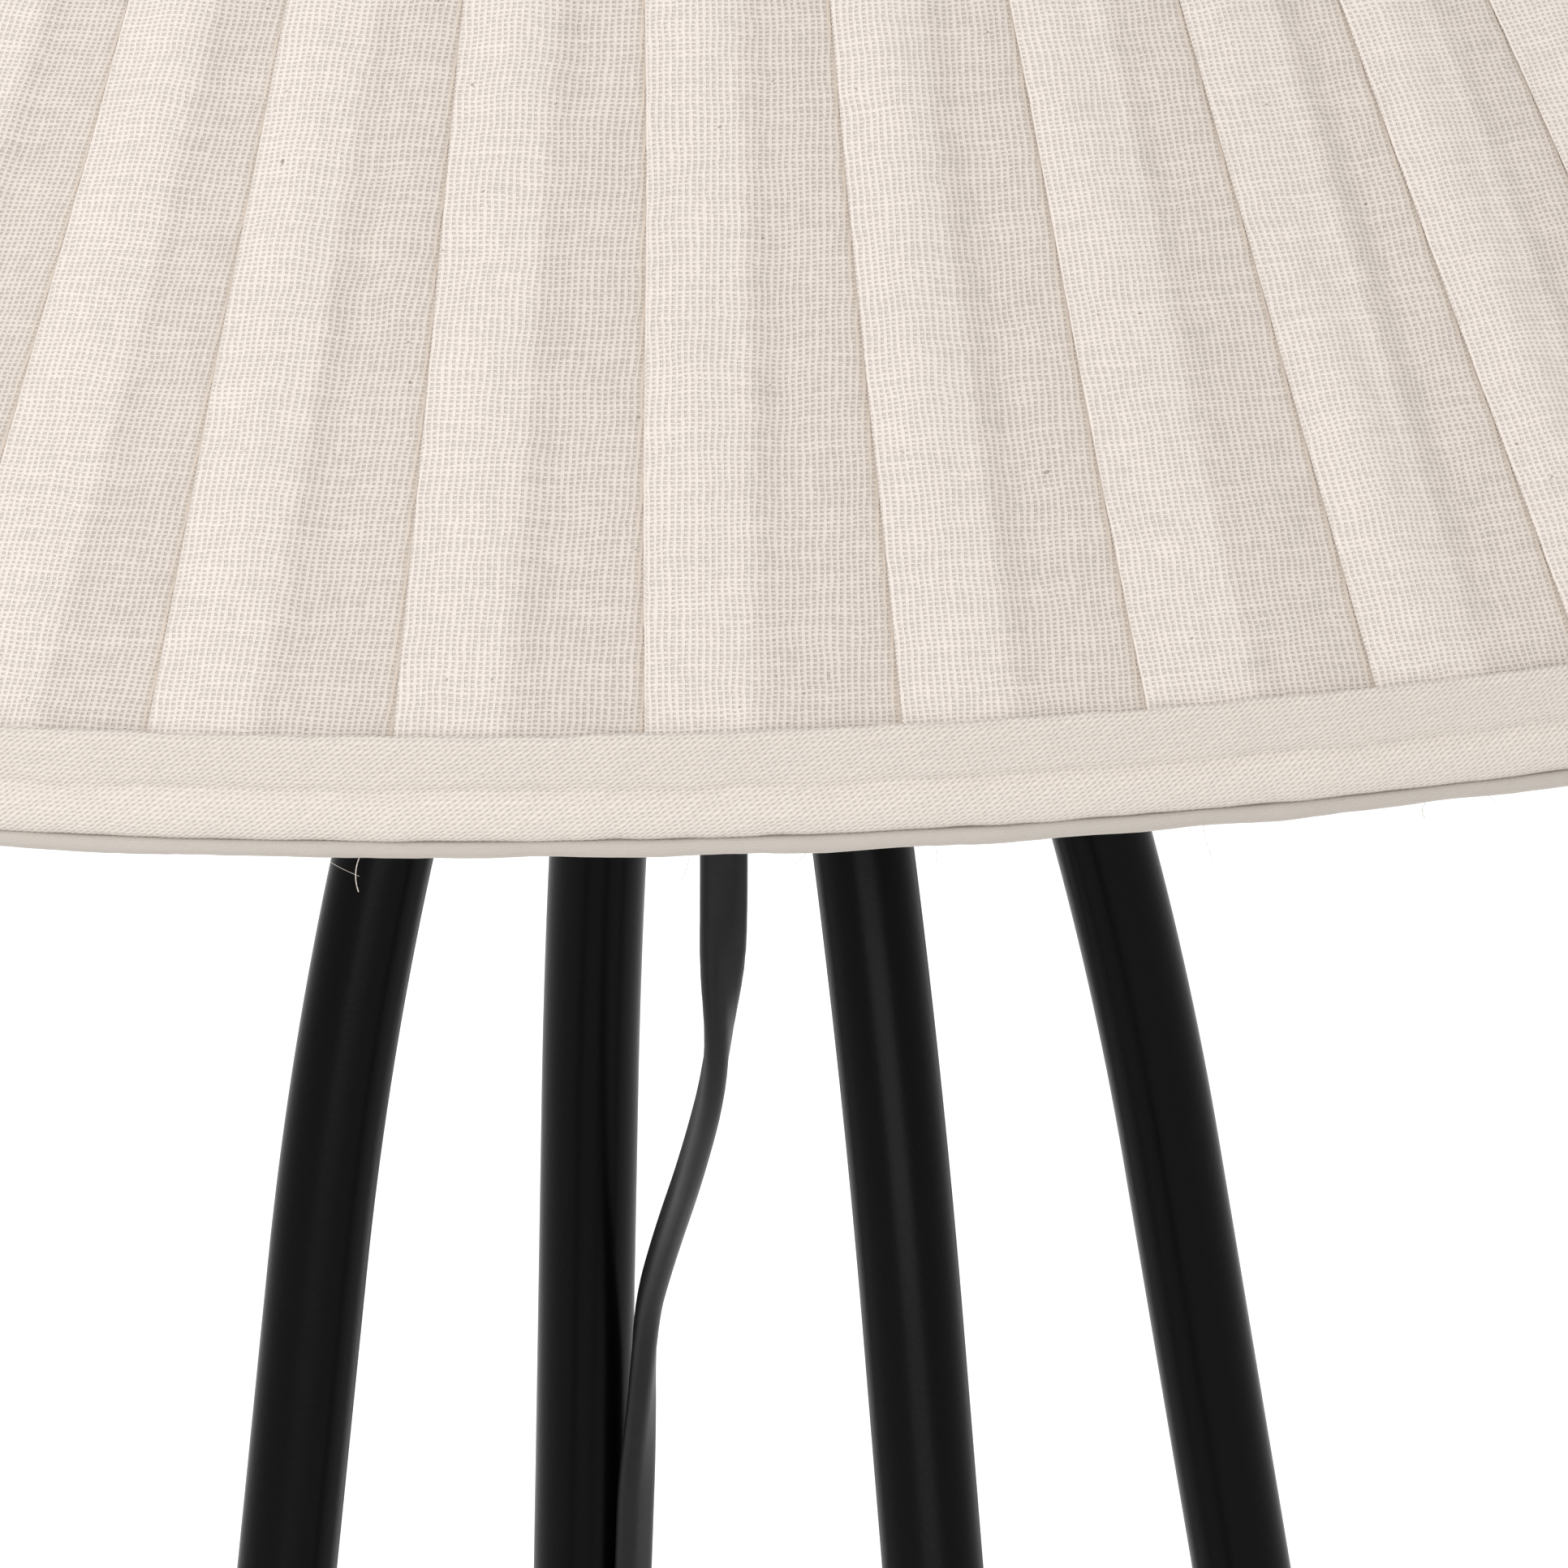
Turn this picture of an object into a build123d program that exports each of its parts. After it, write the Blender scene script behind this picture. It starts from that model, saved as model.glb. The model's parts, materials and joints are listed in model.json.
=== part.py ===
from build123d import *
import math
import os

# A floor lamp on four splayed tube legs, with a wide pleated cone shade.
# Millimetres, +Z up.  The origin is on the lamp's axis, at floor level.

# ---------------------------------------------------------------- driving dimensions
# shade
rim_height = 1330.0  # where the pleated cone meets the hem band
shade_radius = 250.0  # the cone's outside radius there
shade_top_radius = 70.0
cone_apex = 247.3  # the cone's sides would meet this far above the rim
cover_thickness = 2.0  # pleated cloth, two to three layers
frame_depth = 3.6  # from the cover's outside to the middle of a frame strut
lining_depth = 5.2  # from the cover's outside to the lining's outside
lining_thickness = 0.8
hem_height = 11.0
hem_thickness = 1.5
strut_wire = 3.0
ring_wire = 4.0
arm_wire = 3.6
strut_count = 6
arm_count = 3

# legs
leg_diameter = 12.0
leg_wall = 1.2
leg_splay = 8.2  # degrees from the vertical, below the bend
leg_top_angle = 24.1  # degrees from the vertical, inside the hub
leg_bend_radius = 426.4
knee_radius = 46.8  # where the leg's two straight lines would cross
knee_drop = 66.4  # that crossing, below the rim
leg_angles = (45, 135, 225, 315)
leg_names = ("leg_back_right", "leg_back_left", "leg_front_left", "leg_front_right")
foot_names = ("foot_back_right", "foot_back_left", "foot_front_left", "foot_front_right")
cord_leg_angle = 135
socket_depth = 26.0  # length of leg inside the hub
tube_end_height = 6.0

# hub and lampholder, heights above the rim
hub_bottom = -12.0
hub_top = 24.0
hub_radius = 33.0
nipple_radius = 5.0
slip = 0.05  # gap between pieces that fit into each other
cap_bottom = 30.0
skirt_bottom = 54.1
flange_top = 66.0
skirt_top = 84.0
thread_radius = 19.5
plate_thickness = 1.5
shade_ring_height = 8.0

# bulb
bulb_radius = 30.0
bulb_height = 103.0  # from the end contact to the top of the globe

# cord: flat twin flex, given as a round tube of the same section
flex_width = 5.8
flex_thickness = 3.2
cord_radius = 2.25
cord_gap = 8.4  # from a leg's middle line to the cord's
cord_turn = 31.0  # degrees round the leg from its inner side

# foot switch
switch_x = 45.0
switch_y = 70.0
switch_length = 88.0
switch_width = 44.0
switch_split = 9.0
switch_height = 21.0
switch_wall = 2.0
button_radius = 17.0
button_travel = 3.0
grommet_length = 22.0
switch_cord_height = 5.0

# coil and plug
coil_x = 117.0
coil_y = 126.0
coil_inner = 25.2
coil_outer = 40.2
coil_height = 11.8
plug_x = 39.0
plug_y = 184.2
plug_thickness = 13.7
plug_relief = 25.0
plug_length = 35.0
pin_spacing = 19.0
pin_radius = 2.0
pin_length = 19.0

# ---------------------------------------------------------------- derived dimensions
cone_angle = math.atan(shade_radius / cone_apex)
shade_height = cone_apex * (1 - shade_top_radius / shade_radius)
shade_top = rim_height + shade_height
leg_radius = leg_diameter / 2
splay = math.radians(leg_splay)
top_angle = math.radians(leg_top_angle)
bend_tangent = leg_bend_radius * math.tan((top_angle - splay) / 2)
skirt_outer = 249.2  # the cover's turned-down edge, behind the hem band
skirt_inner = shade_radius - cover_thickness / math.cos(cone_angle)
strut_foot = shade_radius - frame_depth / math.cos(cone_angle)
lining_outer = shade_radius - lining_depth / math.cos(cone_angle)
lining_inner = shade_radius - (lining_depth + lining_thickness) / math.cos(cone_angle)
plate_bottom = flange_top + 0.1
ring_bottom = plate_bottom + plate_thickness + 0.1

os.makedirs("parts", exist_ok=True)


def cone_point(height, depth):
    """Radius and height of a point that far inside the cover's outside, at a height above the rim."""
    radius = shade_radius * (1 - height / cone_apex) - depth / math.cos(cone_angle)
    return (radius, rim_height + height)


def upright(angle):
    """A vertical plane through the lamp's axis: local x points outward, local y points up."""
    outward = Vector(math.cos(math.radians(angle)), math.sin(math.radians(angle)), 0)
    return Plane(origin=(0, 0, 0), x_dir=outward, z_dir=outward.cross(Vector(0, 0, 1)))


def leg_point(height):
    """Distance of a leg's middle line from the axis, below the bend, at a height above the floor."""
    return knee_radius + math.tan(splay) * (rim_height - knee_drop - height)


def leg_plane(angle, height):
    """A plane square to the leg there: local x points inward, local z points up along the leg."""
    outward = Vector(math.cos(math.radians(angle)), math.sin(math.radians(angle)), 0)
    along = Vector(0, 0, 1) * math.cos(splay) - outward * math.sin(splay)
    inward = Vector(0, 0, -1) * math.sin(splay) - outward * math.cos(splay)
    place = outward * leg_point(height) + Vector(0, 0, height)
    return Plane(origin=place, x_dir=inward, z_dir=along)


def corner_radii(points):
    """The arc at each corner of a cord: 0.45 of the shorter run, over the tangent of half the turn."""
    corners = [Vector(*point) for point in points]
    radii = []
    for before, here, after in zip(corners, corners[1:], corners[2:]):
        run_in = here - before
        run_out = after - here
        half_turn = math.radians(run_in.get_angle(run_out)) / 2
        radii.append(0.45 * min(run_in.length, run_out.length) / math.tan(half_turn))
    return radii


def save(piece, name):
    """Label a finished piece and write its STEP file."""
    piece.part.label = name
    export_step(piece.part, f"parts/{name}.step")


# ---------------------------------------------------------------- legs and feet
top_line = Vector(-math.sin(top_angle), math.cos(top_angle))
leg_top = Vector(knee_radius, rim_height - knee_drop) + top_line * (bend_tangent + socket_depth)
leg_path = [
    (leg_top.X, leg_top.Y),
    (knee_radius, rim_height - knee_drop),
    (leg_point(tube_end_height), tube_end_height),
]

for leg_name, leg_angle in zip(leg_names, leg_angles):
    leg_side = upright(leg_angle)
    with BuildPart() as leg:
        with BuildLine(leg_side) as leg_line:
            FilletPolyline(*leg_path, radius=leg_bend_radius)
        with BuildSketch(Plane(origin=leg_line.line @ 0, z_dir=leg_line.line % 0)):
            Circle(leg_radius)
            Circle(leg_radius - leg_wall, mode=Mode.SUBTRACT)
        sweep()
    save(leg, leg_name)

foot_radius = 8.5
foot_height = 24.0
for foot_name, leg_angle in zip(foot_names, leg_angles):
    foot_base = leg_plane(leg_angle, 0)
    with BuildPart() as foot:
        with BuildSketch(foot_base.offset(-4)):
            Circle(foot_radius)
        extrude(amount=foot_height + 4, taper=1.5)
        with BuildSketch(leg_plane(leg_angle, tube_end_height - 0.9)):
            Circle(leg_radius + slip)
        extrude(amount=foot_height + 4, mode=Mode.SUBTRACT)
        split(bisect_by=Plane.XY, keep=Keep.TOP)
    save(foot, foot_name)

# ---------------------------------------------------------------- hub
with BuildPart() as hub:
    with BuildSketch(Plane.XZ):
        with BuildLine():
            Polyline(
                (0, rim_height + hub_bottom),
                (hub_radius, rim_height + hub_bottom),
                (hub_radius, rim_height - 2),
                (24, rim_height + hub_top),
                (0, rim_height + hub_top),
                close=True,
            )
        make_face()
    revolve(axis=Axis.Z)
    fillet(hub.edges().filter_by(GeomType.CIRCLE), radius=1.5)
    for leg_angle in leg_angles:
        outward = Vector(math.cos(math.radians(leg_angle)), math.sin(math.radians(leg_angle)), 0)
        socket_line = outward * top_line.X + Vector(0, 0, top_line.Y)
        socket_end = outward * leg_top.X + Vector(0, 0, leg_top.Y) + socket_line * 0.2
        with BuildSketch(Plane(origin=socket_end, z_dir=-socket_line)):
            Circle(leg_radius + slip)
        extrude(amount=socket_depth + 20, mode=Mode.SUBTRACT)
        with BuildSketch(Plane(origin=(0, 0, rim_height + 2), z_dir=outward)):
            Circle(2.0 + slip)
        extrude(amount=hub_radius + 5, mode=Mode.SUBTRACT)
    with BuildSketch(Plane.XY.offset(rim_height + hub_bottom)):
        Circle(3.6)
    extrude(amount=hub_top - hub_bottom, mode=Mode.SUBTRACT)
    with BuildSketch(Plane.XY.offset(rim_height + hub_bottom)):
        Circle(6 + slip)
    extrude(amount=6, mode=Mode.SUBTRACT)
    with BuildSketch(Plane.XY.offset(rim_height + hub_top)):
        Circle(nipple_radius + slip)
    extrude(amount=-11, mode=Mode.SUBTRACT)
save(hub, "hub")

with BuildPart() as leg_screws:
    for leg_angle in leg_angles:
        outward = Vector(math.cos(math.radians(leg_angle)), math.sin(math.radians(leg_angle)), 0)
        screw_start = outward * 23.6 + Vector(0, 0, rim_height + 2)
        with BuildSketch(Plane(origin=screw_start, z_dir=outward)):
            Circle(2.0)
        extrude(amount=7)
        with BuildSketch(Plane(origin=screw_start + outward * 7, z_dir=outward)):
            RegularPolygon(radius=1.0, side_count=6)
        extrude(amount=-3, mode=Mode.SUBTRACT)
save(leg_screws, "leg_set_screws")

with BuildPart() as bush:
    with BuildSketch(Plane.XY.offset(rim_height + hub_bottom - 3)):
        Circle(8)
    extrude(amount=2.95)
    with BuildSketch(Plane.XY.offset(rim_height + hub_bottom - 0.05)):
        Circle(6)
    extrude(amount=5.9)
    fillet(bush.faces().sort_by(Axis.Z)[0].edges(), radius=1)
    with BuildSketch(Plane.XY.offset(rim_height + hub_bottom - 3)):
        SlotOverall(flex_width + 0.2, flex_thickness + 0.2)
    extrude(amount=9, mode=Mode.SUBTRACT)
save(bush, "cord_bush")

# ---------------------------------------------------------------- nipple, nut and washer
with BuildPart() as nipple:
    with BuildSketch(Plane.XY.offset(rim_height + hub_top - 10.5)):
        Circle(nipple_radius)
        Circle(3.6, mode=Mode.SUBTRACT)
    extrude(amount=26)
save(nipple, "hollow_nipple")

with BuildPart() as washer:
    with BuildSketch(Plane.XY.offset(rim_height + hub_top + 0.05)):
        Circle(8.5)
        with PolarLocations(8.5, 12):
            Circle(0.7, mode=Mode.SUBTRACT)
        Circle(nipple_radius + slip, mode=Mode.SUBTRACT)
    extrude(amount=1.2)
save(washer, "toothed_washer")

with BuildPart() as nut:
    with BuildSketch(Plane.XY.offset(rim_height + hub_top + 1.3)):
        RegularPolygon(radius=7, side_count=6, major_radius=False)
        Circle(nipple_radius + slip, mode=Mode.SUBTRACT)
    extrude(amount=4)
save(nut, "lock_nut")

# ---------------------------------------------------------------- lampholder
with BuildPart() as holder_cap:
    with BuildSketch(Plane.XZ):
        with BuildLine():
            Polyline(
                (nipple_radius + slip, rim_height + cap_bottom),
                (9, rim_height + cap_bottom),
                (9.5, rim_height + cap_bottom + 5),
                (20.2, rim_height + cap_bottom + 14),
                (20.2, rim_height + skirt_bottom - 0.1),
                (18.2, rim_height + skirt_bottom - 0.1),
                (18.2, rim_height + cap_bottom + 16),
                (9.5, rim_height + cap_bottom + 9),
                (nipple_radius + slip, rim_height + cap_bottom + 9),
                close=True,
            )
        make_face()
    revolve(axis=Axis.Z)
    with BuildSketch(Plane.YZ):
        with Locations((0, rim_height + cap_bottom + 2.5)):
            Circle(1.5 + slip)
    extrude(amount=12, mode=Mode.SUBTRACT)
save(holder_cap, "lampholder_cap")

with BuildPart() as lock_screw:
    with BuildSketch(Plane.YZ.offset(nipple_radius + 0.1)):
        with Locations((0, rim_height + cap_bottom + 2.5)):
            Circle(1.5)
    extrude(amount=5.5)
save(lock_screw, "lampholder_lock_screw")

with BuildPart() as holder_skirt:
    with BuildSketch(Plane.XZ):
        with BuildLine():
            Polyline(
                (20.2, rim_height + skirt_bottom),
                (20.2, rim_height + flange_top - 2),
                (23.5, rim_height + flange_top - 2),
                (23.5, rim_height + flange_top),
                (thread_radius, rim_height + flange_top),
                (thread_radius, rim_height + skirt_top),
                (14.5, rim_height + skirt_top),
                (14.5, rim_height + 58),
                (18.1, rim_height + 58),
                (18.1, rim_height + skirt_bottom),
                close=True,
            )
        make_face()
    revolve(axis=Axis.Z)
save(holder_skirt, "lampholder_skirt")

with BuildPart() as insert:
    with BuildSketch(Plane.XY.offset(rim_height + 47)):
        Circle(18)
    extrude(amount=10.9)
    with BuildSketch(Plane.XY.offset(rim_height + 47)):
        Rectangle(8, 7)
    extrude(amount=8, mode=Mode.SUBTRACT)
    with BuildSketch(Plane.XY.offset(rim_height + 47)):
        with Locations((-11, 0), (11, 0)):
            Circle(2 + slip)
    extrude(amount=7, mode=Mode.SUBTRACT)
save(insert, "lampholder_insert")

with BuildPart() as terminal_screws:
    with BuildSketch(Plane.XY.offset(rim_height + 47)):
        with Locations((-11, 0), (11, 0)):
            Circle(2)
    extrude(amount=6.5)
    with BuildSketch(Plane.XY.offset(rim_height + 47)):
        with Locations((-11, 0), (11, 0)):
            Circle(2.6)
    extrude(amount=-1.6)
save(terminal_screws, "terminal_screws")

with BuildPart() as centre_contact:
    with BuildSketch(Plane.XZ):
        with BuildLine():
            Polyline(
                (0, rim_height + 58),
                (5.5, rim_height + 58),
                (5.5, rim_height + 58.7),
                (3, rim_height + 59.6),
                (0, rim_height + 59.6),
                close=True,
            )
        make_face()
    revolve(axis=Axis.Z)
save(centre_contact, "centre_contact")

with BuildPart() as screw_shell:
    with BuildSketch(Plane.XY.offset(rim_height + 61)):
        Circle(14.4)
        Circle(13.3, mode=Mode.SUBTRACT)
    extrude(amount=21)
save(screw_shell, "screw_shell")

# ---------------------------------------------------------------- shade ring
with BuildPart() as shade_ring:
    with BuildSketch(Plane.XY.offset(rim_height + ring_bottom)):
        Circle(28)
        with PolarLocations(28, 24):
            Circle(1.1, mode=Mode.SUBTRACT)
        Circle(thread_radius + 0.1, mode=Mode.SUBTRACT)
    extrude(amount=shade_ring_height)
    fillet(shade_ring.edges().filter_by(GeomType.CIRCLE).sort_by(SortBy.RADIUS)[-1:], radius=0.2)
save(shade_ring, "shade_ring")

# ---------------------------------------------------------------- bulb, heights above the rim
contact_bottom = 59.8
with BuildPart() as bulb_contact:
    with BuildSketch(Plane.XY.offset(rim_height + contact_bottom)):
        Circle(4.5)
    extrude(amount=1.2)
save(bulb_contact, "bulb_end_contact")

with BuildPart() as bulb_insulator:
    with BuildSketch(Plane.XZ):
        with BuildLine():
            Polyline(
                (0, rim_height + 61.1),
                (5, rim_height + 61.1),
                (12.4, rim_height + 64.5),
                (0, rim_height + 64.5),
                close=True,
            )
        make_face()
    revolve(axis=Axis.Z)
save(bulb_insulator, "bulb_insulator")

with BuildPart() as bulb_cap:
    with BuildSketch(Plane.XY.offset(rim_height + 64.6)):
        Circle(13.2)
        Circle(12.6, mode=Mode.SUBTRACT)
    extrude(amount=22)
save(bulb_cap, "bulb_screw_cap")

housing_bottom = 86.7
globe_bottom = 118.0
globe_centre = contact_bottom + bulb_height - bulb_radius
with BuildPart() as bulb_housing:
    with BuildSketch(Plane.XZ):
        with BuildLine():
            Polyline(
                (0, rim_height + housing_bottom),
                (14, rim_height + housing_bottom),
                (15.5, rim_height + housing_bottom + 6),
                (26, rim_height + globe_bottom),
                (0, rim_height + globe_bottom),
                close=True,
            )
        make_face()
    revolve(axis=Axis.Z)
save(bulb_housing, "bulb_housing")

globe_edge = 26.0
with BuildPart() as globe:
    with BuildSketch(Plane.XZ):
        with BuildLine():
            Line((0, rim_height + globe_bottom + 0.1), (globe_edge, rim_height + globe_bottom + 0.1))
            Spline(
                (globe_edge, rim_height + globe_bottom + 0.1),
                (bulb_radius, rim_height + globe_centre),
                (0, rim_height + globe_centre + bulb_radius),
                tangents=((0.3, 1), (-1, 0)),
            )
            Line((0, rim_height + globe_centre + bulb_radius), (0, rim_height + globe_bottom + 0.1))
        make_face()
    revolve(axis=Axis.Z)
save(globe, "bulb_globe")

# ---------------------------------------------------------------- shade frame
with BuildPart() as plate:
    with BuildSketch(Plane.XY.offset(rim_height + plate_bottom)):
        Circle(31)
        Circle(21, mode=Mode.SUBTRACT)
    extrude(amount=plate_thickness)
save(plate, "fitter_plate")

top_ring_height = 176.0
top_ring_radius = cone_point(top_ring_height, 4.15)[0]
arm_level = rim_height + plate_bottom + plate_thickness / 2
arm_path = [
    (30.2, arm_level),
    (50, arm_level),
    (56, rim_height + top_ring_height),
    (top_ring_radius - 1.2, rim_height + top_ring_height),
]
for arm_number in range(arm_count):
    arm_side = upright(90 + 360 / arm_count * arm_number)
    with BuildPart() as arm:
        with BuildLine(arm_side) as arm_line:
            FilletPolyline(*arm_path, radius=[8, 4])
        with BuildSketch(Plane(origin=arm_line.line @ 0, z_dir=arm_line.line % 0)):
            Circle(arm_wire / 2)
        sweep()
    save(arm, f"fitter_arm_{arm_number + 1}")

with BuildPart() as top_ring:
    with BuildSketch(Plane.XZ):
        with Locations((top_ring_radius, rim_height + top_ring_height)):
            Circle(ring_wire / 2)
    revolve(axis=Axis.Z)
save(top_ring, "top_ring")

bottom_ring_height = -6.0
with BuildPart() as bottom_ring:
    with BuildSketch(Plane.XZ):
        with Locations((strut_foot, rim_height + bottom_ring_height)):
            Circle(ring_wire / 2)
    revolve(axis=Axis.Z)
save(bottom_ring, "bottom_ring")

strut_path = [
    (strut_foot, rim_height + bottom_ring_height + 1.5),
    cone_point(0, frame_depth),
    cone_point(top_ring_height - 1.3, frame_depth),
]
with BuildPart() as struts:
    for strut_number in range(strut_count):
        strut_side = upright(30 + 360 / strut_count * strut_number)
        with BuildLine(strut_side) as strut_line:
            FilletPolyline(*strut_path, radius=4)
        with BuildSketch(Plane(origin=strut_line.line @ 0, z_dir=strut_line.line % 0)):
            Circle(strut_wire / 2)
        sweep(path=strut_line.line)
save(struts, "frame_struts")

# ---------------------------------------------------------------- shade cloth and trims
turn_in = 9.0  # how far the cover and the lining run down behind the hem band
with BuildPart() as cover:
    with BuildSketch(Plane.XZ):
        with BuildLine():
            Polyline(
                (skirt_outer, rim_height - turn_in),
                (skirt_outer, rim_height + 0.8),
                cone_point(shade_height, 0),
                cone_point(shade_height, cover_thickness),
                (skirt_inner, rim_height),
                (skirt_inner, rim_height - turn_in),
                close=True,
            )
        make_face()
    revolve(axis=Axis.Z)
save(cover, "shade_cover")

lining_top = 168.0
with BuildPart() as lining:
    with BuildSketch(Plane.XZ):
        with BuildLine():
            Polyline(
                (lining_outer, rim_height - hem_height),
                (lining_outer, rim_height),
                cone_point(lining_top, lining_depth),
                cone_point(lining_top, lining_depth + lining_thickness),
                (lining_inner, rim_height),
                (lining_inner, rim_height - hem_height),
                close=True,
            )
        make_face()
    revolve(axis=Axis.Z)
save(lining, "shade_lining")

with BuildPart() as hem_band:
    with BuildSketch(Plane.XZ):
        with Locations((skirt_outer + 0.1 + hem_thickness / 2, rim_height - hem_height / 2)):
            RectangleRounded(hem_thickness, hem_height, 0.6)
    revolve(axis=Axis.Z)
save(hem_band, "hem_band")

with BuildPart() as under_strip:
    with BuildSketch(Plane.XY.offset(rim_height - hem_height - 0.1)):
        Circle(shade_radius)
        Circle(lining_inner, mode=Mode.SUBTRACT)
    extrude(amount=-1.9)
save(under_strip, "hem_under_strip")

top_band_height = 9.0
with BuildPart() as top_band:
    with BuildSketch(Plane.XZ):
        with BuildLine():
            Polyline(
                cone_point(shade_height - top_band_height, -0.1),
                cone_point(shade_height - top_band_height, -1.2),
                cone_point(shade_height + 0.1, -1.2),
                (shade_top_radius, shade_top + 1.5),
                (60, shade_top + 1.5),
                (60, shade_top + 0.1),
                cone_point(shade_height + 0.1, -0.1),
                close=True,
            )
        make_face()
    revolve(axis=Axis.Z)
save(top_band, "top_band")

# ---------------------------------------------------------------- cord
# The route from the hub to the foot switch.  It hangs from the bush, swings across to the back left
# leg, runs down the leg's inner side through five clips, and crosses the floor to the switch.
cord_route = [
    (0.0, 0.0, 1315.0),
    (-0.8, 1.1, 1292.0),
    (-2.7, 3.2, 1264.0),
    (-4.4, 5.4, 1238.0),
    (-7.7, 9.3, 1219.0),
    (-16.6, 20.2, 1203.0),
    (-26.2, 31.7, 1188.5),
    (-32.6, 38.7, 1176.5),
    (-35.4, 42.2, 1156.0),
    (-39.0, 45.1, 1125.0),
    (-43.1, 49.2, 1085.0),
    (-49.5, 57.0, 1012.0),
    (-56.4, 64.4, 942.0),
    (-65.0, 71.1, 870.0),
    (-69.1, 75.2, 830.0),
    (-76.1, 81.7, 757.0),
    (-82.8, 88.9, 688.0),
    (-91.0, 97.1, 615.0),
    (-95.1, 101.2, 575.0),
    (-101.7, 109.3, 503.0),
    (-108.6, 116.1, 432.0),
    (-117.0, 123.1, 360.0),
    (-121.0, 127.2, 320.0),
    (-128.1, 134.3, 244.0),
    (-135.0, 142.2, 176.0),
    (-142.4, 148.6, 110.0),
    (-146.4, 152.5, 71.0),
    (-146.2, 152.2, 46.0),
    (-141.2, 147.3, 25.0),
    (-130.6, 136.7, 10.5),
    (-115.8, 121.8, 3.7),
    (-100.2, 106.3, 2.3),
    (-80.0, 90.0, 2.3),
    (-57.0, 76.4, 2.5),
    (-36.0, 70.5, 4.1),
    (-21.0, 70.0, 5.0),
]

# From the foot switch to the coil, and from the coil to the plug.
lead_route = [
    (111.0, 70.0, 5.0),
    (126.0, 70.6, 3.7),
    (139.6, 76.6, 2.5),
    (149.8, 87.6, 2.3),
    (155.0, 101.6, 2.3),
    (155.4, 117.0, 2.3),
    (153.6, 131.0, 2.3),
]
tail_route = [
    (120.0, 164.0, 8.9),
    (108.0, 165.6, 7.8),
    (95.0, 172.0, 6.6),
    (82.0, 180.6, 6.4),
    (73.0, 183.6, 6.7),
    (64.0, 184.2, 6.85),
]

for cord_name, route in (
    ("cord_upper", cord_route),
    ("cord_lead", lead_route),
    ("cord_tail", tail_route),
):
    radii = corner_radii(route)
    with BuildPart() as cord:
        with BuildLine() as cord_line:
            FilletPolyline(*route, radius=radii)
        with BuildSketch(Plane(origin=cord_line.line @ 0, z_dir=cord_line.line % 0)):
            Circle(cord_radius)
        sweep()
    save(cord, cord_name)
    cord_length = cord_line.wire().length
    expected = math.pi * cord_radius**2 * cord_length
    print(cord_name, "length", round(cord_length, 1), "radii", [round(r) for r in radii])
    print(cord_name, "volume", round(cord.part.volume), "section times length", round(expected))

# The stretch inside the hub and nipple, up into the lampholder.
with BuildPart() as cord_inner:
    with BuildSketch(Plane.XY.offset(rim_height + hub_bottom - 3)):
        SlotOverall(flex_width, flex_thickness)
    extrude(amount=62)
save(cord_inner, "cord_inner")

with BuildPart() as coil:
    with BuildSketch(Plane.XY):
        with Locations((coil_x, coil_y)):
            Circle(coil_outer)
            Circle(coil_inner, mode=Mode.SUBTRACT)
    extrude(amount=coil_height)
    fillet(coil.edges().filter_by(GeomType.CIRCLE), radius=2.5)
save(coil, "cord_coil")

# A band round the coil's bundle of turns.
tie_plane = Plane(origin=(coil_x, coil_y, 0), x_dir=(-0.6, -0.8, 0), z_dir=(-0.8, 0.6, 0))
tie_width = 9.0
with BuildPart() as tie:
    with BuildSketch(tie_plane.offset(-tie_width / 2)):
        with Locations(((coil_inner + coil_outer) / 2, coil_height / 2 + 0.35)):
            RectangleRounded(coil_outer - coil_inner + 1.6, coil_height + 0.7, 2.6)
            RectangleRounded(coil_outer - coil_inner + 0.4, coil_height - 0.1, 2.2, mode=Mode.SUBTRACT)
    extrude(amount=tie_width)
save(tie, "coil_tie")

# ---------------------------------------------------------------- cord clips
clip_heights = (1105, 850, 595, 340, 90)
clip_length = 9.0
cord_side = math.radians(cord_turn)
cord_place = (cord_gap * math.cos(cord_side), cord_gap * math.sin(cord_side))
with BuildPart() as clips:
    for clip_height in clip_heights:
        clip_base = leg_plane(cord_leg_angle, clip_height).offset(-clip_length / 2)
        with BuildSketch(clip_base):
            Circle(leg_radius + 1.2)
            with Locations(Location((*cord_place, 0), (0, 0, cord_turn + 90))):
                SlotOverall(flex_width + 3.2, 2 * cord_radius + 2.8)
            Circle(leg_radius + slip, mode=Mode.SUBTRACT)
            with Locations(Location((*cord_place, 0), (0, 0, cord_turn + 90))):
                SlotOverall(flex_width + 0.8, 2 * cord_radius + 0.4, mode=Mode.SUBTRACT)
        extrude(amount=clip_length)
save(clips, "cord_clips")

# ---------------------------------------------------------------- foot switch
with BuildPart() as switch_base:
    with BuildSketch(Plane.XY):
        with Locations((switch_x, switch_y)):
            SlotOverall(switch_length, switch_width)
    extrude(amount=switch_split)
    fillet(switch_base.faces().sort_by(Axis.Z)[0].edges(), radius=1.2)
    with BuildSketch(Plane.XY.offset(2.5)):
        with Locations((switch_x, switch_y)):
            SlotOverall(switch_length - 2 * switch_wall, switch_width - 2 * switch_wall)
    extrude(amount=switch_split, mode=Mode.SUBTRACT)
    with BuildSketch(Plane.XY.offset(switch_split - 1.2)):
        with Locations((switch_x - switch_length / 2, switch_y), (switch_x + switch_length / 2, switch_y)):
            Rectangle(8, 6.4)
    extrude(amount=4, mode=Mode.SUBTRACT)
save(switch_base, "switch_base")

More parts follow.
